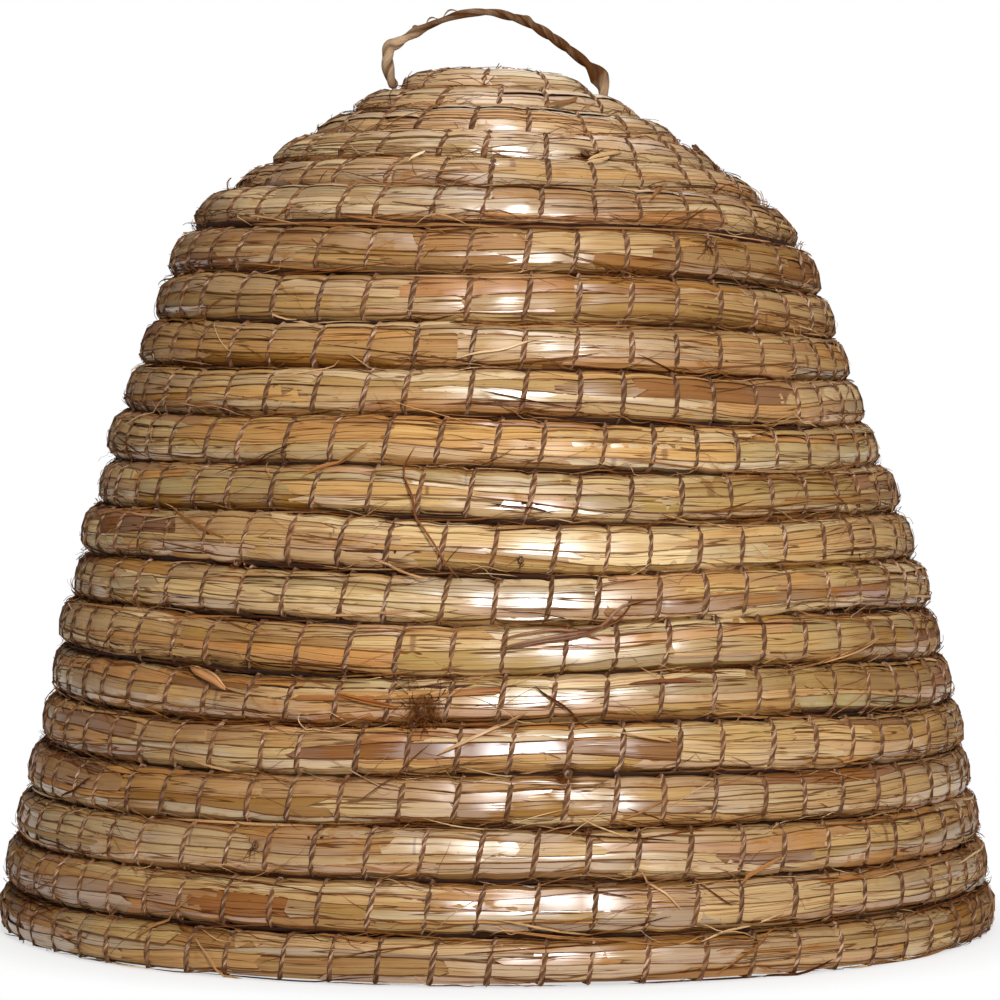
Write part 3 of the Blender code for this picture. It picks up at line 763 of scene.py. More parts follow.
def layCore(finish):
    # what is seen between the straws: the rope's inside, painted near-black as the shade between them
    sides = core["sides"]
    first, end = stitchAt(0.0), stitchAt(ropeLength)
    fromFirst, fromEnd = core["fromEnds"]
    between = np.arange(math.ceil(first * 4 + fromFirst), math.floor(end * 4 - fromEnd)).astype(float)
    steps = np.concatenate([[first], fromStep(between), [end]])
    stitch = np.repeat(steps, sides)
    around = np.tile(np.arange(sides) / sides, len(steps))
    lift = np.full(len(stitch), -core["sunk"])
    places = onRope(stitch, around, lift - pressed(onRope(stitch, around, lift)) * core["pressedMore"])
    inside = Laid()
    inside.add(places, tube(len(steps), sides), {"grain": grain(alongAt(stitch), around * girth, 0)}, {})
    # straw ends packed between two turns, so that no light comes through
    sides = core["packingSides"]
    steps = steps[turnsLeft(steps) > core["packedTurns"]]
    stitch = np.repeat(steps, sides)
    angle = np.tile(np.arange(sides) / sides * 2 * math.pi, len(steps))
    centre, out = onWall(stitch, np.full(len(stitch), pitch / 2), np.zeros(len(stitch)))
    places = centre + out * (np.cos(angle) * core["packingDeep"] - loose["grooveFloor"])[:, None]
    places += onCoil("down", alongAt(stitch)) * (np.sin(angle) * core["packingHigh"])[:, None]
    places[:, 2] = np.maximum(places[:, 2], core["packingFloor"])
    inside.add(places, tube(len(steps), sides), {"grain": np.column_stack([alongAt(stitch) * 50, angle])}, {})
    print("core", inside.lay("rope_core", finish, 60, "skep", "straw", "straw_rope"), "faces")


def layStrips(target, shape, centres, normals, halves, thickness, tints, marks):
    # copies a modelled strip along each row of centres
    points, faces = shape
    ring = np.round(points[:, 0]).astype(int)
    share = points[:, 0] / (centres.shape[1] - 1)
    way = unit(np.gradient(centres, axis=1))
    across = unit(np.cross(normals, way))
    normal = np.cross(way, across)
    y, z = points[None, :, 1, None], points[None, :, 2, None]
    places = centres[:, ring] + across[:, ring] * y * halves[:, ring, None]
    places += normal[:, ring] * z * np.asarray(thickness)[:, None, None]
    lengths = np.linalg.norm(np.diff(centres, axis=1), axis=2).sum(axis=1)
    edge = np.column_stack([share, 0.5 + points[:, 1] * loose["edgeReach"]])
    for place, length, half, tint, mark in zip(places, lengths, halves, tints, marks):
        maps = {"grain": grain(share * length, points[:, 1] * half.max(), mark[0]), "edge": edge}
        looks = {"tint": np.tile([*tint, 1.0], (len(points), 1)), "marks": np.tile(mark, (len(points), 1))}
        target.add(place, faces, maps, looks)


def looseMarks(pick, gloss):
    # marks of many loose straws, which have no growth ring
    count = len(gloss)
    return np.column_stack([pick.random(count), np.full(count, noRing), gloss, pick.random(count)])


loose = {
    "grooveFloor": 0.0062,
    "floorGap": 0.0006,
    "clearOfFeet": 0.023,
    "edgeReach": 0.34,       # strips show less of the straws' dark edges
    "curlRates": (2, 9),
    "alongCurl": 12,         # how far a curl reaches along, in stitches for each metre of it
    "upCurl": 0.5,           # and how far up, as a share of it
    "tipUp": 2,
    "lowest": 0.0001,
    "thickness": 0.00025,
    "varies": (0.8, 1.15),
    "darkTints": 3,          # how many of the first tints are thinner
    "darkThinner": 0.6,
    "dullTints": 4,          # and how many have no gloss
    "gloss": 0.3,
    "tints": [("4a2611", 24), ("704522", 26), ("8f6439", 21), ("ab8052", 14), ("cda878", 9), ("dcc49a", 6)],
    # kind: how many, length, steps, half width, how far from a row's middle, drift, lift, how it curls
    "kinds": [
        {"name": "groove_fibres", "count": 4400, "length": (0.010, 0.036), "steps": 6, "flat": False,
         "half": (0.00010, 0.00030), "down": (0.0078, 0.0122), "drift": 0.0024, "lift": (0.0002, 0.0017),
         "curl": 0.0008, "inside": 0.25},
        {"name": "face_fibres", "count": 1200, "length": (0.006, 0.028), "steps": 6, "flat": False,
         "half": (0.00008, 0.00022), "down": (0.0, 0.0100), "drift": 0.0036, "lift": (0.0006, 0.0010),
         "curl": 0.0007, "inside": 0.2},
        {"name": "shreds", "count": 1100, "length": (0.018, 0.075), "steps": 8, "flat": True,
         "half": (0.00022, 0.00060), "down": (0.0050, 0.0118), "drift": 0.0024, "lift": (0.0004, 0.0010),
         "curl": 0.0004, "inside": 0.2},
        {"name": "stray_straws", "count": 80, "length": (0.014, 0.040), "steps": 8, "flat": True,
         "half": (0.0004, 0.0010), "down": (0.0030, 0.0110), "drift": 0.0060, "lift": (0.0008, 0.0016),
         "curl": 0.0006, "inside": 0.1},
    ],
    "seed": 31,
}


def layLoose(finish):
    pick = np.random.default_rng(loose["seed"])
    tints, chances = tintsOf(loose["tints"])
    for kind in loose["kinds"]:
        count, steps, flat, curl = kind["count"], kind["steps"], kind["flat"], kind["curl"]
        shape = modelStrip(steps, 4 if flat else 3, flat)
        each, share = (count, 1), np.linspace(0, 1, steps + 1)[None, :]
        first = pick.uniform(1, lastStitch - 2, each)
        length = pick.uniform(*kind["length"], each)
        turned = pick.choice([-1.0, 1.0], each)
        down = pick.uniform(*kind["down"], each) * pick.choice([-1.0, 1.0], each)
        drift = pick.normal(0, kind["drift"], each)
        upWave, downWave, alongWave = (
            np.sin(share * pick.uniform(*loose["curlRates"], each) + pick.uniform(0, 6.28, each)) * curl
            for _ in range(3))
        stitch = first + turned * (share - 0.5) * length / rope["stitchSpacing"]
        stitch = stitch + alongWave * loose["alongCurl"]
        lift = pick.uniform(*kind["lift"], each) + upWave * loose["upCurl"]
        lift = lift + (share ** 3) * (pick.uniform(0, 1.0, each) ** 6) * curl * loose["tipUp"]
        side = np.where(pick.random(each) < kind["inside"], -1.0, 1.0)
        down = down + drift * (share - 0.5) * 2 + downWave
        centres, normals = onWall(stitch, down, lift.clip(loose["lowest"]), side)
        taper = np.sqrt(np.clip(1 - np.abs(2 * share - 1) ** 3, 0.03, 1))
        tone = pick.choice(len(tints), count, p=chances)
        thinner = np.where(tone < loose["darkTints"], loose["darkThinner"], 1.0)[:, None]
        half = pick.uniform(*kind["half"], each) * taper * thinner
        thick = np.full(count, loose["thickness"]) if flat else half.max(axis=1)
        chosen = tints[tone] * pick.uniform(*loose["varies"], each)
        marks = looseMarks(pick, np.where(tone < loose["dullTints"], 0.0, loose["gloss"]))
        # nothing loose lies where the handle's right leg swings
        kept = toHandle(centres).min(axis=1) > loose["clearOfFeet"]
        target = Laid()
        layStrips(target, shape, *(part[kept] for part in (centres, normals, half, thick, chosen, marks)))
        print(kind["name"], count, "with", target.lay(kind["name"], finish, 60, "skep", "straw"), "faces")


ropeStart = {
    "count": 64,
    "steps": 8,
    "wayPoints": 6,              # how many of the coil's points show the way there
    "behind": 0.002,
    "startOut": (-0.6, 0.85),    # where they start, as shares of the rope's depth and width
    "startDown": (-0.8, 0.8),
    "reach": (0.006, 0.0115),
    "turned": 0.22,
    "sag": (0.0016, 0.0012),     # down the wall, and straight down
    "half": (0.0003, 0.0011),
    "thickness": 0.0003,
    "tilt": 0.3,
    "tints": 6,                  # the first of the straws' tints, and how much darker they are
    "darker": 0.8,
    "gloss": 0.1,
}


def layRopeStart(finish):
    # the rope's first straws reach across the eye of the crown
    pick = np.random.default_rng(loose["seed"] + 1)
    count, steps = ropeStart["count"], ropeStart["steps"]
    line, out, down, size = (coil[name][0] for name in ("line", "out", "down", "share"))
    share = np.linspace(0, 1, steps + 1)[None, :, None]
    way = unit(line - coil["line"][ropeStart["wayPoints"]])
    start = line - way * ropeStart["behind"]
    start = start + out * pick.uniform(*ropeStart["startOut"], (count, 1)) * rope["outReach"] * size
    start = start + down * pick.uniform(*ropeStart["startDown"], (count, 1)) * rope["halfWidth"] * size
    reach = pick.uniform(*ropeStart["reach"], (count, 1, 1))
    turned = way + pick.normal(0, ropeStart["turned"], (count, 1, 3))
    centres = start[:, None] + turned * reach * share - down * ropeStart["sag"][0] * share ** 2
    centres[..., 2] -= ropeStart["sag"][1] * share[..., 0] ** 2
    taper = np.sqrt(np.clip(1 - (share[..., 0] * 0.98) ** 4, 0, 1))
    half = pick.uniform(*ropeStart["half"], (count, 1)) * taper
    tints = tintsOf(straws["tints"])[0] * ropeStart["darker"]
    chosen = tints[pick.integers(0, ropeStart["tints"], count)]
    marks = looseMarks(pick, np.full(count, ropeStart["gloss"]))
    normals = np.broadcast_to(out, centres.shape) + pick.normal(0, ropeStart["tilt"], (count, 1, 3))
    target = Laid()
    layStrips(target, modelStrip(steps, 4, flat=True), centres, unit(normals), half,
              np.full(count, ropeStart["thickness"]), chosen, marks)
    target.lay("rope_start", finish, 60, "skep", "straw")


twine = {
    "radius": 0.00114,
    "radiusVaries": (0.88, 1.10),
    "sides": 4,
    "segments": 12,
    "start": 0.28,           # where a stitch starts, and how far round the rope it goes
    "reach": 1.04,
    "slant": 0.0050,
    "slantVaries": 0.0018,
    "bow": 0.0011,
    "bowVaries": (-0.4, 1),
    "shift": 0.0006,
    # from the rope's faces to its grooves: how high the twine's middle lies over the rope
    "depthPlaces": [0.0, 0.19, 0.25],
    "depths": [0.0004, 0.0003, -0.0005],
    "flare": 0.45,
    "length": 0.068,
    "twist": 0.0046,
    "shades": (0.75, 1.2),
    "seed": 11,
}


def cordTint(places, shade, seed):
    # how light the fibres are, and a number that shifts their pattern
    return {"tint": np.tile([shade, seed, 0.0, 1.0], (len(places), 1))}


def layTwine(finish):
    pick = np.random.default_rng(twine["seed"])
    points, faces = modelStrip(twine["segments"], twine["sides"])
    x, y, z = points.T
    share = x / twine["segments"]
    ply = (np.arctan2(z, y) / (2 * math.pi)) % 1.0
    nodes = sorted(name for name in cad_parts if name.startswith("binding_twine"))
    firstTurn = turnsLeft(np.array([1.0]))[0]
    # from the groove below over the outside to the groove above, then inside to the next stitch
    around = twine["start"] - twine["reach"] * share
    depth = np.interp(np.abs((around + 0.25) % 0.5 - 0.25), twine["depthPlaces"], twine["depths"])
    nearGroove = np.abs((around + 0.5) % 1.0 - 0.5) / 0.25
    flare = 1 + twine["flare"] * np.clip(nearGroove, 0, 1) ** 4
    targets = {}
    for number in range(1, lastStitch + 1):
        lean = (twine["slant"] + pick.uniform(-1, 1) * twine["slantVaries"]) / 2
        bow = pick.uniform(*twine["bowVaries"]) * twine["bow"]
        spacing = stitchAlong[number + 1] - stitchAlong[number]
        outside = np.interp(around, [-0.80, -0.25, 0.25, 0.30], [spacing - lean, lean, -lean, -lean])
        along = stitchAlong[number] + outside + bow * np.cos(2 * math.pi * around)
        along = along + pick.uniform(-1, 1) * twine["shift"]
        radius = twine["radius"] * pick.uniform(*twine["radiusVaries"]) * flare
        stitch, lift = stitchAt(along + y * radius), depth + z * radius
        places = onRope(stitch, around % 1.0, lift - pressed(onRope(stitch, around % 1.0, lift)))
        twist = np.column_stack([share * twine["length"] / twine["twist"] + pick.random() * 9, ply])
        turn = int(np.clip((firstTurn - turnsLeft(np.array([float(number)]))[0]), 0, len(nodes) - 1))
        tint = cordTint(places, pick.uniform(*twine["shades"]), pick.random())
        targets.setdefault(turn, Laid()).add(places, faces, {"twist": twist}, tint)
    total = sum(target.lay(f"stitches_{turn + 1:02d}", finish, 80, "skep", "twine", nodes[turn], "twist")
                for turn, target in sorted(targets.items()))
    print(lastStitch, "stitches,", total, "faces in", len(targets), "pieces")


def twineFinish():
    finish = Finish("twineFinish")
    u, v = finish.uv("twist")
    shade, seed, _ = finish.parts(finish.attribute("tint"))
    phase = (u + v * 2.0) * (2 * math.pi)
    plies = phase.join("COSINE") * 0.5 + 0.5
    fibres = finish.noise(finish.vector(u * 1.1, v * 9.0 + u * 4.0, seed * 20.0), 3.0, 0.65)
    fleckAndSheenPatches = finish.noise(finish.vector(u * 0.35, v * 1.5, seed * 31.0), 2.0, 0.6)
    # darker between the plies and paler on their tops: painted shade and light over the fibres' own tone
    colour = finish.mix(plies * 0.5 + fibres * 0.5, "42260f", "946b4c")
    # pale flecks: partly pale fibres, partly painted highlight
    colour = finish.mix(finish.band(fibres + fleckAndSheenPatches * 0.5 + plies * 0.12, 0.86, 1.02) * 0.65, colour, "d2b198")
    colour = finish.mix(1.0, colour, finish.vector(shade, shade, shade), "MULTIPLY")
    finish.set(Base_Color=colour, Roughness=0.75, Specular_IOR_Level=0.1)
    finish.bump(plies * 0.8 + fibres * 0.5, 0.0006, 0.9)
    return finish


handle = {
    "radius": 0.0027,
    "rise": 0.0350,
    "leftFoot": (-0.04527, 0.0, 0.37179),
    "rightFoot": (0.04734, 0.0, 0.36683),
    "ends": [("handle_end_left", "leftFoot", (-0.42427, 0.0, 0.90554)),
             ("handle_end_right", "rightFoot", (0.46342, 0.0, 0.88614))],
    # the route from foot to foot, as shares of their distance and of the rise
    "route": [(0.000, 0.00), (-0.024, 0.12), (-0.038, 0.28), (-0.038, 0.42), (-0.030, 0.53), (0.004, 0.575),
              (0.044, 0.645), (0.106, 0.745), (0.174, 0.84), (0.242, 0.92), (0.309, 0.985), (0.392, 1.025),
              (0.469, 1.035), (0.542, 1.0), (0.619, 0.95), (0.716, 0.82), (0.812, 0.66), (0.880, 0.53),
              (0.933, 0.42), (0.977, 0.30), (1.000, 0.16), (1.000, 0.00)],
    # along, share of the radius in the arch's plane, and across it
    "widths": [(0.00, 0.90, 0.90), (0.05, 1.05, 1.00), (0.14, 1.08, 1.00), (0.185, 1.00, 0.95),
               (0.21, 0.72, 0.85), (0.245, 0.86, 0.85), (0.28, 0.64, 0.80), (0.36, 0.64, 0.80),
               (0.43, 0.76, 0.82), (0.50, 0.66, 0.80), (0.60, 0.78, 0.85), (0.72, 0.88, 0.90),
               (0.80, 0.92, 0.92), (0.87, 0.80, 0.88), (0.895, 1.25, 0.98), (0.925, 1.62, 1.05),
               (0.947, 1.40, 0.95), (0.968, 1.00, 0.85), (1.00, 0.85, 0.80)],
    # along, how pale the fibres are; the dip below zero at 0.90 is painted shade at the start of the right
    # end's bulge
    "colours": [(0.00, 0.40), (0.07, 0.55), (0.12, 0.85), (0.15, 0.65), (0.185, 1.25), (0.215, 0.55),
                (0.25, 0.30), (0.30, 0.12), (0.42, 0.06), (0.49, 0.35), (0.53, 0.08), (0.80, 0.02),
                (0.90, -0.3), (0.925, 0.20), (0.96, 0.70), (1.00, 0.55)],
    "uneven": 0.035,
    "unevenRates": (17, 41, 83),
    "twists": 10.4,
    "twistVaries": (0.05, 9.0),
    "repeats": 7,            # of the fibres' pattern
    "groove": 0.36,          # how deep the plies' groove is, as a share of the radius, and its shape
    "grooveShape": 0.55,
    "rings": 190,
    "sides": 20,
    # loose strands above the arm: where they leave and join it, and how far they stand off
    "strands": [(0.285, 0.325, 0.0016), (0.345, 0.395, 0.0018), (0.235, 0.26, 0.0009), (0.60, 0.64, 0.0008)],
    "strandPoints": 11,
    "strandRadius": 0.00026,
    "strandsAside": (-0.0002, 0.0003),
    "strandGroove": 0.1,
    "strandSides": 6,
    "strandShade": (0.45, 0.3),
    # the end in the wall: its radius as a share, how deep it goes, and the knot inside
    "endRadius": 0.93,
    "endDepths": (0.0028, 0.012, 0.0225),
    "endPoints": 90,
    "endSides": 12,
    "endTwists": 4.0,
    "endShade": (0.35, 0.4),
    "knotRadius": 0.0042,
    "knotTurns": 1.08,
    "knotDepth": (0.0020, 0.0016),
    "knotTail": [(0.0050, 0.0), (0.0095, 0.0012), (0.0150, -0.001)],   # below the knot's start, and aside
    "seed": 23,
}


def layCord(target, line, facing, twists, sizes, groove, sides, repeats, shade, seed):
    # a two-ply cord along a line, with half its width and half its depth at each of the line's points
    points, faces = modelStrip(len(line) - 1, sides)
    wide, deep = sizes
    ring = np.round(points[:, 0]).astype(int)
    share = ring / (len(line) - 1)
    way = unit(np.gradient(line, axis=0))
    first = unit(np.cross(way, facing))
    second = np.cross(way, first)
    angle, size = np.arctan2(points[:, 2], points[:, 1]), np.hypot(points[:, 1], points[:, 2])
    turned = angle - twists(share) * math.pi
    ply = 1 - groove * (1 - np.abs(np.cos(turned)) ** handle["grooveShape"])
    places = line[ring] + first[ring] * (np.cos(angle) * ply * size * wide[ring])[:, None]
    places += second[ring] * (np.sin(angle) * ply * size * deep[ring])[:, None]
    tint = cordTint(places, 0.0, seed)
    tint["tint"][:, 0] = np.broadcast_to(shade, len(line))[ring]
    maps = {"twist": np.column_stack([share * repeats, (turned / (2 * math.pi)) % 1.0])}
    target.add(places, faces, maps, tint)


def layHandle(finish):
    left, right = np.array(handle["leftFoot"]), np.array(handle["rightFoot"])
    knots = [left + (right - left) * along + np.array([0, 0, handle["rise"] * up])
             for along, up in handle["route"]]
    line = smoothRoute(knots, 12, handle["rings"])
    share = np.linspace(0, 1, len(line))
    pick = np.random.default_rng(handle["seed"])
    places, *widths = np.array(handle["widths"]).T
    wide, deep = (np.interp(share, places, width) * handle["radius"] for width in widths)
    for size in (wide, deep):
        for rate in handle["unevenRates"]:
            size *= 1 + handle["uneven"] * np.sin(share * rate + pick.uniform(0, 6))
    # both ends are round
    near = np.minimum(alongLine(line), alongLine(line)[-1] - alongLine(line))
    rounded = np.sqrt(np.clip(1 - (1 - near / handle["radius"]).clip(0, 1) ** 2, 0.02, 1))
    varies, rate = handle["twistVaries"]
    across = np.array([[0.0, 1.0, 0.0]])
    cord, strands = Laid(), Laid()
    layCord(cord, line, across, lambda s: handle["twists"] * (s + varies * np.sin(s * rate)),
            (wide * rounded, deep * rounded), handle["groove"], handle["sides"], handle["repeats"],
            np.interp(share, *np.array(handle["colours"]).T), pick.random())
    faces = cord.lay("handle_twisted_cord", finish, 70, "handle", "cord", "handle_cord", "twist")
    for start, end, off in handle["strands"]:
        spots = np.linspace(start, end, handle["strandPoints"])
        middle = np.column_stack([np.interp(spots, share, column) for column in line.T])
        half = np.interp(spots, share, wide)
        above = np.cross([0.0, 1.0, 0.0], unit(np.gradient(middle, axis=0)))
        above *= np.sign(above[:, 2:3])
        arc = np.sin(np.linspace(0, math.pi, len(spots)))
        middle = middle + above * (half * 0.75 + off * arc)[:, None]
        for aside in handle["strandsAside"]:
            path = middle + np.array([0.0, aside * 3, 0.0]) + above * (aside * arc)[:, None]
            thick = handle["strandRadius"] * (0.6 + 0.4 * arc)
            layCord(strands, path, across, lambda s: s, (thick, thick), handle["strandGroove"],
                    handle["strandSides"], 1, *handle["strandShade"])
    faces += strands.lay("handle_strands", finish, 70, "handle", "cord", wrapped="twist")
    print("handle", faces, "faces")


def layHandleEnd(name, foot, out, finish):
    # the cord through the wall and its knot inside
    foot, out = np.array(handle[foot]), unit(np.array(out))
    aside = unit(np.cross(out, [0.0, 1.0, 0.0]))
    fore = np.cross(out, aside)
    ring, (deep, deeper) = handle["knotRadius"], handle["knotDepth"]
    knots = [foot - out * depth for depth in handle["endDepths"]]
    inside = knots[-1]
    for angle in np.arange(1, 10) / 9 * 2 * math.pi * handle["knotTurns"]:
        loop = (aside * math.sin(angle) + fore * (1 - math.cos(angle))) * ring * 0.9 - fore * ring * 0.2
        knots.append(inside - out * (deep + deeper * math.sin(angle / 2)) + loop)
    knots += [inside - out * below + aside * beside for below, beside in handle["knotTail"]]
    line = smoothRoute(knots, 8, handle["endPoints"])
    size = np.interp(np.linspace(0, 1, len(line)), [0, 0.9, 1.0], [1, 1, 0.75])
    size *= handle["radius"] * handle["endRadius"]
    cord = Laid()
    layCord(cord, line, aside[None, :] * 0.3 + np.array([[0.0, 1.0, 0.2]]), lambda s: handle["endTwists"] * s,
            (size, size), handle["groove"], handle["endSides"], handle["endTwists"], *handle["endShade"])
    cord.lay(name + "_cord", finish, 70, "skep", "cord", name, "twist")


def cordFinish():
    finish = Finish("cordFinish")
    u, v = finish.uv("twist")
    pale, seed, _ = finish.parts(finish.attribute("tint"))
    fibres = finish.noise(finish.vector(u * 1.2, v * 26.0, seed * 20.0), 3.0, 0.65)
    blotch = finish.noise(finish.vector(u * 2.2, v * 5.0, 3.0), 2.0, 0.6)
    valley = abs((v * (2 * math.pi)).join("COSINE"))
    dark, light = finish.mix(fibres, "281203", "74461d"), finish.mix(fibres, "855b34", "e2c6a4")
    colour = finish.mix((pale + (blotch - 0.5)).clamped(), dark, light)
    # darker in the groove between the plies: painted shade
    colour = finish.mix(finish.band(valley, 0.60, 0.05) * 0.55, colour, "32190a")
    finish.set(Base_Color=colour, Roughness=0.62, Specular_IOR_Level=0.1)
    finish.bump(fibres, 0.0005, 0.8)
    return finish


details = {
    # loose blades and splinters: pixels of the view that they pass, half width, lift, tint
    "blades": [
        ([(411, 447), (408, 472), (410, 498), (413, 515), (425, 531), (438, 548), (453, 566), (468, 581)],
         0.0005, 0.0030, "8a5a34"),
        ([(498, 648), (540, 640), (572, 633), (600, 627), (614, 619), (624, 607), (642, 601)],
         0.0007, 0.0020, "8a6c54"),
        ([(500, 650), (542, 643), (574, 637), (602, 628), (616, 618), (628, 602), (634, 596)],
         0.0007, 0.0016, "775a44"),
        ([(500, 640), (530, 634), (560, 630), (600, 640)], 0.0006, 0.0014, "8a5a38"),
        ([(186, 664), (200, 673), (214, 682), (227, 690)], 0.0015, 0.0030, "dba876"),
        ([(188, 664), (204, 669), (216, 677), (229, 688)], 0.0006, 0.0036, "e2bb90"),
        ([(412, 165), (419, 158), (427, 150)], 0.0007, 0.0035, "f2e2c2"),
        ([(590, 163), (602, 159), (615, 154)], 0.0009, 0.0030, "d8bc8c"),
        ([(586, 168), (600, 166), (617, 160)], 0.0006, 0.0036, "e6d2a6"),
        ([(548, 106), (562, 103), (574, 99)], 0.0010, 0.0026, "9a7448"),
        ([(304, 715), (303, 722), (305, 730)], 0.0003, 0.0040, "dcc49a"),
        ([(622, 733), (650, 738), (672, 742)], 0.0006, 0.0026, "c9a87a"),
        ([(338, 694), (362, 700), (402, 708)], 0.0010, 0.0022, "b5763c"),
        ([(632, 684), (670, 681), (700, 682)], 0.0007, 0.0016, "7a4a28"),
    ],
    # broken straw in the wide groove under the shoulder
    "shoulderBlades": [
        ([(204, 223), (250, 221), (300, 219), (350, 219)], 0.0005, 0.0022, "a98152"),
        ([(226, 220), (280, 220), (330, 221), (372, 220)], 0.0004, 0.0026, "8c5f38"),
        ([(296, 222), (340, 220), (392, 221), (430, 222)], 0.0005, 0.0022, "b08c5c"),
        ([(350, 218), (396, 220), (446, 221), (486, 222)], 0.0006, 0.0024, "9c7446"),
        ([(404, 223), (450, 221), (500, 223), (548, 225)], 0.0005, 0.0022, "a8824f"),
        ([(460, 221), (505, 223), (552, 225), (590, 227)], 0.0004, 0.0026, "80532e"),
        ([(240, 223), (262, 218), (291, 223)], 0.0003, 0.0032, "c4a273"),
        ([(414, 224), (440, 219), (470, 223)], 0.0003, 0.0032, "c4a273"),
        ([(560, 224), (610, 225), (660, 227), (700, 230)], 0.0005, 0.0022, "9c7446"),
        ([(620, 225), (664, 228), (712, 231), (752, 235)], 0.0004, 0.0024, "a8824f"),
    ],
    "bladeSteps": 14,
    "bladeThickness": 0.0003,
    "tipsTucked": 0.7,
    # knots in the twine: a pixel, size, frayed ends, which way they point (0 is left) and how they spread
    "knots": [((421, 711), 0.85, 110, 2.7, 2.6), ((566, 772), 1.1, 90, -0.95, 0.35),
              ((576, 153), 1.0, 14, 2.6, 0.9), ((697, 150), 0.8, 10, -1.2, 0.6),
              ((709, 244), 0.8, 14, -1.2, 0.6), ((623, 320), 0.8, 12, -0.9, 0.6),
              ((226, 560), 1.1, 80, -1.0, 0.35), ((255, 845), 0.7, 10, -1.2, 0.6),
              ((526, 560), 0.6, 8, -1.4, 0.8)],
    "knotLift": 0.0012,
    "knotPoints": 34,
    "knotTurns": 2.3,
    "knotRadii": (0.0015, 0.0005),
    "knotCord": 0.00085,
    "knotSquash": (0.8, 1.2),
    "knotWave": 0.0004,
    "knotRise": 0.0010,
    "knotTwists": 5,
    "knotGroove": 0.3,
    "knotSides": 8,
    "knotRepeats": 3,
    "knotShade": 0.68,
    "knotTints": ["3a1d0d", "54301a", "6b4426", "8d6844"],
    "fraySteps": 6,
    "frayReach": (0.004, 0.009),
    "frayHalf": (0.00009, 0.00026),
    "frayStart": (0.0005, 0.0006),     # always, and more of it the wider they spread
    "frayBend": (0.0009, 0.0009),
    "frayHigh": 1.2,
    "frayTip": 0.4,
    "frayRise": 0.0006,
    "frayFlat": 0.75,        # how much of the frayed ends' spread out of the wall is taken away
    "seed": 47,
}


def layDetails(strawLook, twineLook):
    pick = np.random.default_rng(details["seed"])
    steps, fraySteps = details["bladeSteps"], details["fraySteps"]
    shape, thin = modelStrip(steps, 4, flat=True), modelStrip(fraySteps, 3)
    blades, knots, tufts = Laid(), Laid(), Laid()

    def layBlade(pixels, half, lift, tint):
        passed = np.vstack([onWall(*atPixel(x, y), np.full(1, lift))[0] for x, y in pixels])
        line = smoothRoute(passed, 8, steps + 1)
        toTip = np.abs(2 * np.linspace(0, 1, steps + 1) - 1)
        outward = unit(line * [1, 1, 0] + [0, 0, 0.05])
        line = line - outward * (toTip ** 4 * lift * details["tipsTucked"])[:, None]
        taper = np.sqrt(np.clip(1 - toTip ** 2.5, 0.02, 1)) * half
        layStrips(blades, shape, line[None], outward[None], taper[None], [details["bladeThickness"]],
                  [fromHex(tint)], [[pick.random(), noRing, 0.1, 0.5]])

    def layKnot(pixel, size, frays, pointing, spread):
        middle, out = (value[0] for value in onWall(*atPixel(*pixel), np.full(1, details["knotLift"] * size)))
        aside = unit(np.cross(out, [0.0, 0.0, 1.0]))
        upward = np.cross(aside, out)
        count = details["knotPoints"]
        angle = np.linspace(0, 2 * details["knotTurns"] * math.pi, count) + pick.uniform(0, 6)
        radius = np.linspace(*details["knotRadii"], count) * size
        wide, high = details["knotSquash"]
        line = middle + aside * (np.cos(angle) * radius * wide)[:, None]
        line = line + upward * (np.sin(angle) * radius * high)[:, None]
        rise = np.sin(angle * 1.5) * details["knotWave"] + np.linspace(0, details["knotRise"], count)
        line = line + out * rise[:, None] * size
        thick = np.full(count, details["knotCord"] * size ** 0.5)
        layCord(knots, line, out[None, :], lambda s: details["knotTwists"] * s, (thick, thick),
                details["knotGroove"], details["knotSides"], details["knotRepeats"], details["knotShade"],
                pick.random())
        # its frayed ends
        way = pick.normal(pointing, spread, frays)
        reach = pick.uniform(*details["frayReach"], frays) * size
        part = np.linspace(0, 1, fraySteps + 1)[None, :, None]
        heading = aside * np.cos(way)[:, None] + upward * np.sin(way)[:, None] * details["frayHigh"]
        (near, far), (stiff, limp) = details["frayStart"], details["frayBend"]
        start = middle + pick.normal(0, far * spread ** 2 + near, (frays, 3))
        bend = pick.normal(0, stiff + limp * spread, (frays, 1, 3))
        start = start - out * ((start - middle) @ out)[:, None] * details["frayFlat"]
        bend = bend - out * (bend @ out)[..., None] * details["frayFlat"]
        centres = start[:, None] + heading[:, None] * reach[:, None, None] * part + bend * part ** 2
        centres = centres + out * (np.sin(part * math.pi) - part ** 2) * details["frayRise"]
        taper = np.linspace(1, details["frayTip"], fraySteps + 1)
        half = pick.uniform(*details["frayHalf"], frays)[:, None] * taper[None]
        colours = details["knotTints"]
        tints = [fromHex(colours[k]) for k in pick.integers(0, len(colours), frays)]
        layStrips(tufts, thin, centres, np.broadcast_to(out, centres.shape), half, half[:, 0], tints,
                  looseMarks(pick, np.zeros(frays)))

    for blade in details["blades"]:
        layBlade(*blade)
    for knot in details["knots"]:
        layKnot(*knot)
    for blade in details["shoulderBlades"]:
        layBlade(*blade)
    blades.lay("loose_blades", strawLook, 60, "skep", "straw")
    knots.lay("twine_knots", twineLook, 70, "skep", "twine", wrapped="twist")
    tufts.lay("frayed_ends", strawLook, 70, "skep", "twine")
    count = len(details["blades"] + details["shoulderBlades"])
    print("details", count, "blades,", len(details["knots"]), "knots")


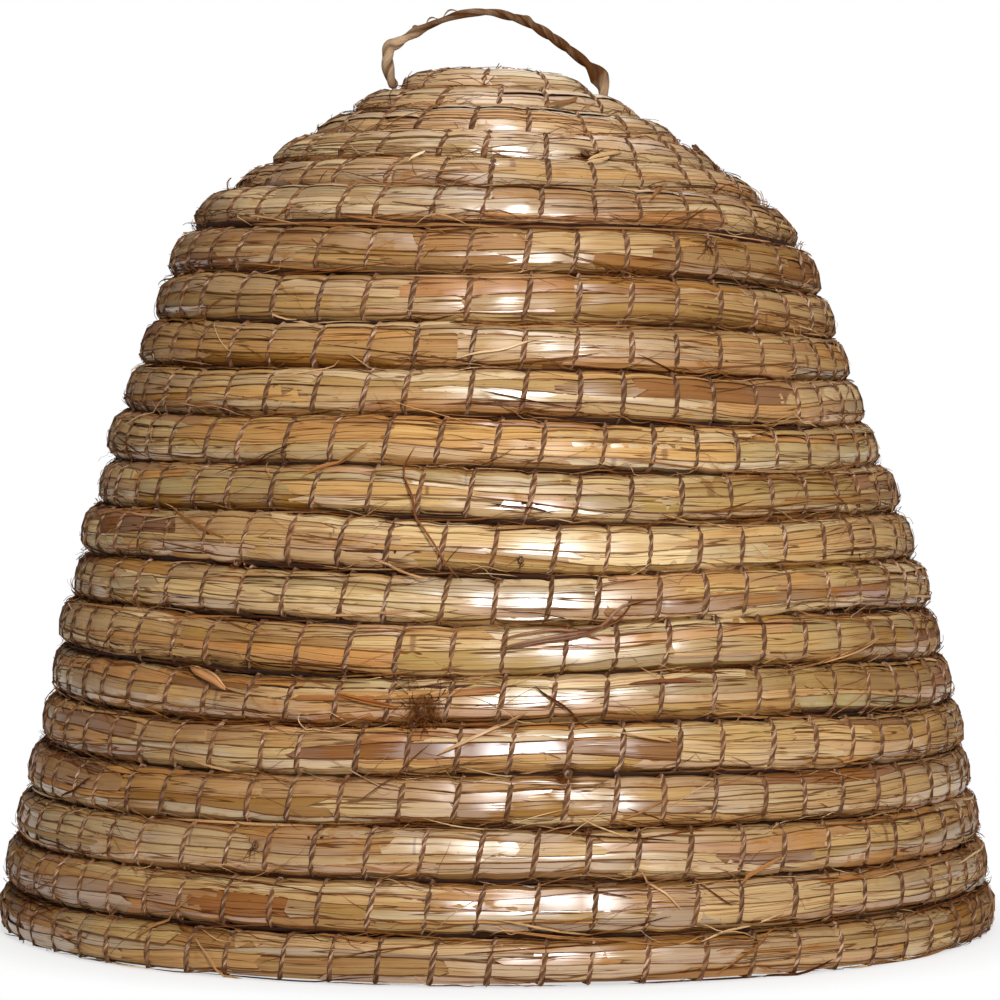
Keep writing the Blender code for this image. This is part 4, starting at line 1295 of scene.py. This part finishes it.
lights = {
    "roomStrength": 0.12,
    "floorColour": (0.86, 0.86, 0.85),
    "floorRoughness": 0.9,
    "floorSize": 14,
    "floorDrop": 0.0002,
    "floorWhite": (0.218, 0.268, 0.66, 1.0),     # from and to this far out, from and to this much glow
    "lamps": [
        # name, place, aim, size, watts
        ("frontLamp", (0.36, -1.95, 1.00), (0.0, 0.0, 0.19), 0.46, 39.5),
        ("topLamp", (-0.1, -0.35, 2.4), (0.0, 0.0, 0.2), 1.4, 14.0),
        ("backLamp", (0.3, 1.7, 2.3), (0.0, 0.0, 0.2), 1.6, 14.0),
    ],
}


def setFloor():
    # the floor is white to the camera further out, and keeps the shadow near the skep
    finish = Finish("floorFinish")
    finish.set(Base_Color=lights["floorColour"], Roughness=lights["floorRoughness"])
    path = finish.node("ShaderNodeLightPath")
    rays = path.socket.node.outputs
    seen = path + Shade(finish, rays["Is Glossy Ray"]) + Shade(finish, rays["Is Transmission Ray"])
    away = finish.node("ShaderNodeVectorMath", {"operation": "LENGTH"}, {0: finish.place()}, output=1)
    white = seen.clamped() * finish.band(away, *lights["floorWhite"])
    glow = finish.node("ShaderNodeEmission", inputs={0: (1.0, 1.0, 1.0), 1: 1.0})
    diffuse = Shade(finish, finish.shader.outputs[0])
    both = finish.node("ShaderNodeMixShader", inputs={0: white, 1: diffuse, 2: glow})
    finish.feed(finish.tree.nodes["Material Output"].inputs[0], both)
    bpy.ops.mesh.primitive_plane_add(size=lights["floorSize"], location=(0, 0, -lights["floorDrop"]))
    floor = bpy.context.object
    floor.name = "floor"
    floor.data.materials.append(finish.material)


def setRoom():
    # white to the camera, and dim as a light
    world = bpy.data.worlds.new("room")
    bpy.context.scene.world = world
    world.use_nodes = True
    tree = world.node_tree
    background = tree.nodes["Background"]
    background.inputs[0].default_value = (1.0, 1.0, 1.0, 1.0)
    path = tree.nodes.new("ShaderNodeLightPath")
    seen = tree.nodes.new("ShaderNodeMath")
    seen.operation = "MULTIPLY_ADD"
    seen.inputs[1].default_value = 1.0 - lights["roomStrength"]
    seen.inputs[2].default_value = lights["roomStrength"]
    tree.links.new(path.outputs["Is Camera Ray"], seen.inputs[0])
    tree.links.new(seen.outputs[0], background.inputs[1])


def turnTo(item, place, aim):
    item.rotation_euler = (Vector(aim) - Vector(place)).to_track_quat("-Z", "Y").to_euler()


def setLamps():
    for name, place, aim, size, watts in lights["lamps"]:
        bpy.ops.object.light_add(type="AREA", location=place)
        lamp = bpy.context.object
        lamp.name = name
        lamp.data.shape = "DISK"
        lamp.data.size = size
        lamp.data.energy = watts
        turnTo(lamp, place, aim)


def setCamera():
    bpy.ops.object.camera_add(location=view["place"])
    camera = bpy.context.object
    camera.data.lens = view["lens"]
    camera.data.sensor_width = view["sensor"]
    turnTo(camera, view["place"], view["aim"])
    bpy.context.scene.camera = camera


layCore(coreShadeFinish())
strawLook = strawFinish()
layStraws(strawLook)
layLoose(strawLook)
layRopeStart(strawLook)
twineLook = twineFinish()
layTwine(twineLook)
layDetails(strawLook, twineLook)
cordLook = cordFinish()
layHandle(cordLook)
for end in handle["ends"]:
    layHandleEnd(*end, cordLook)
setFloor()
setRoom()
setLamps()
setCamera()
bpy.context.scene.view_settings.view_transform = "Standard"
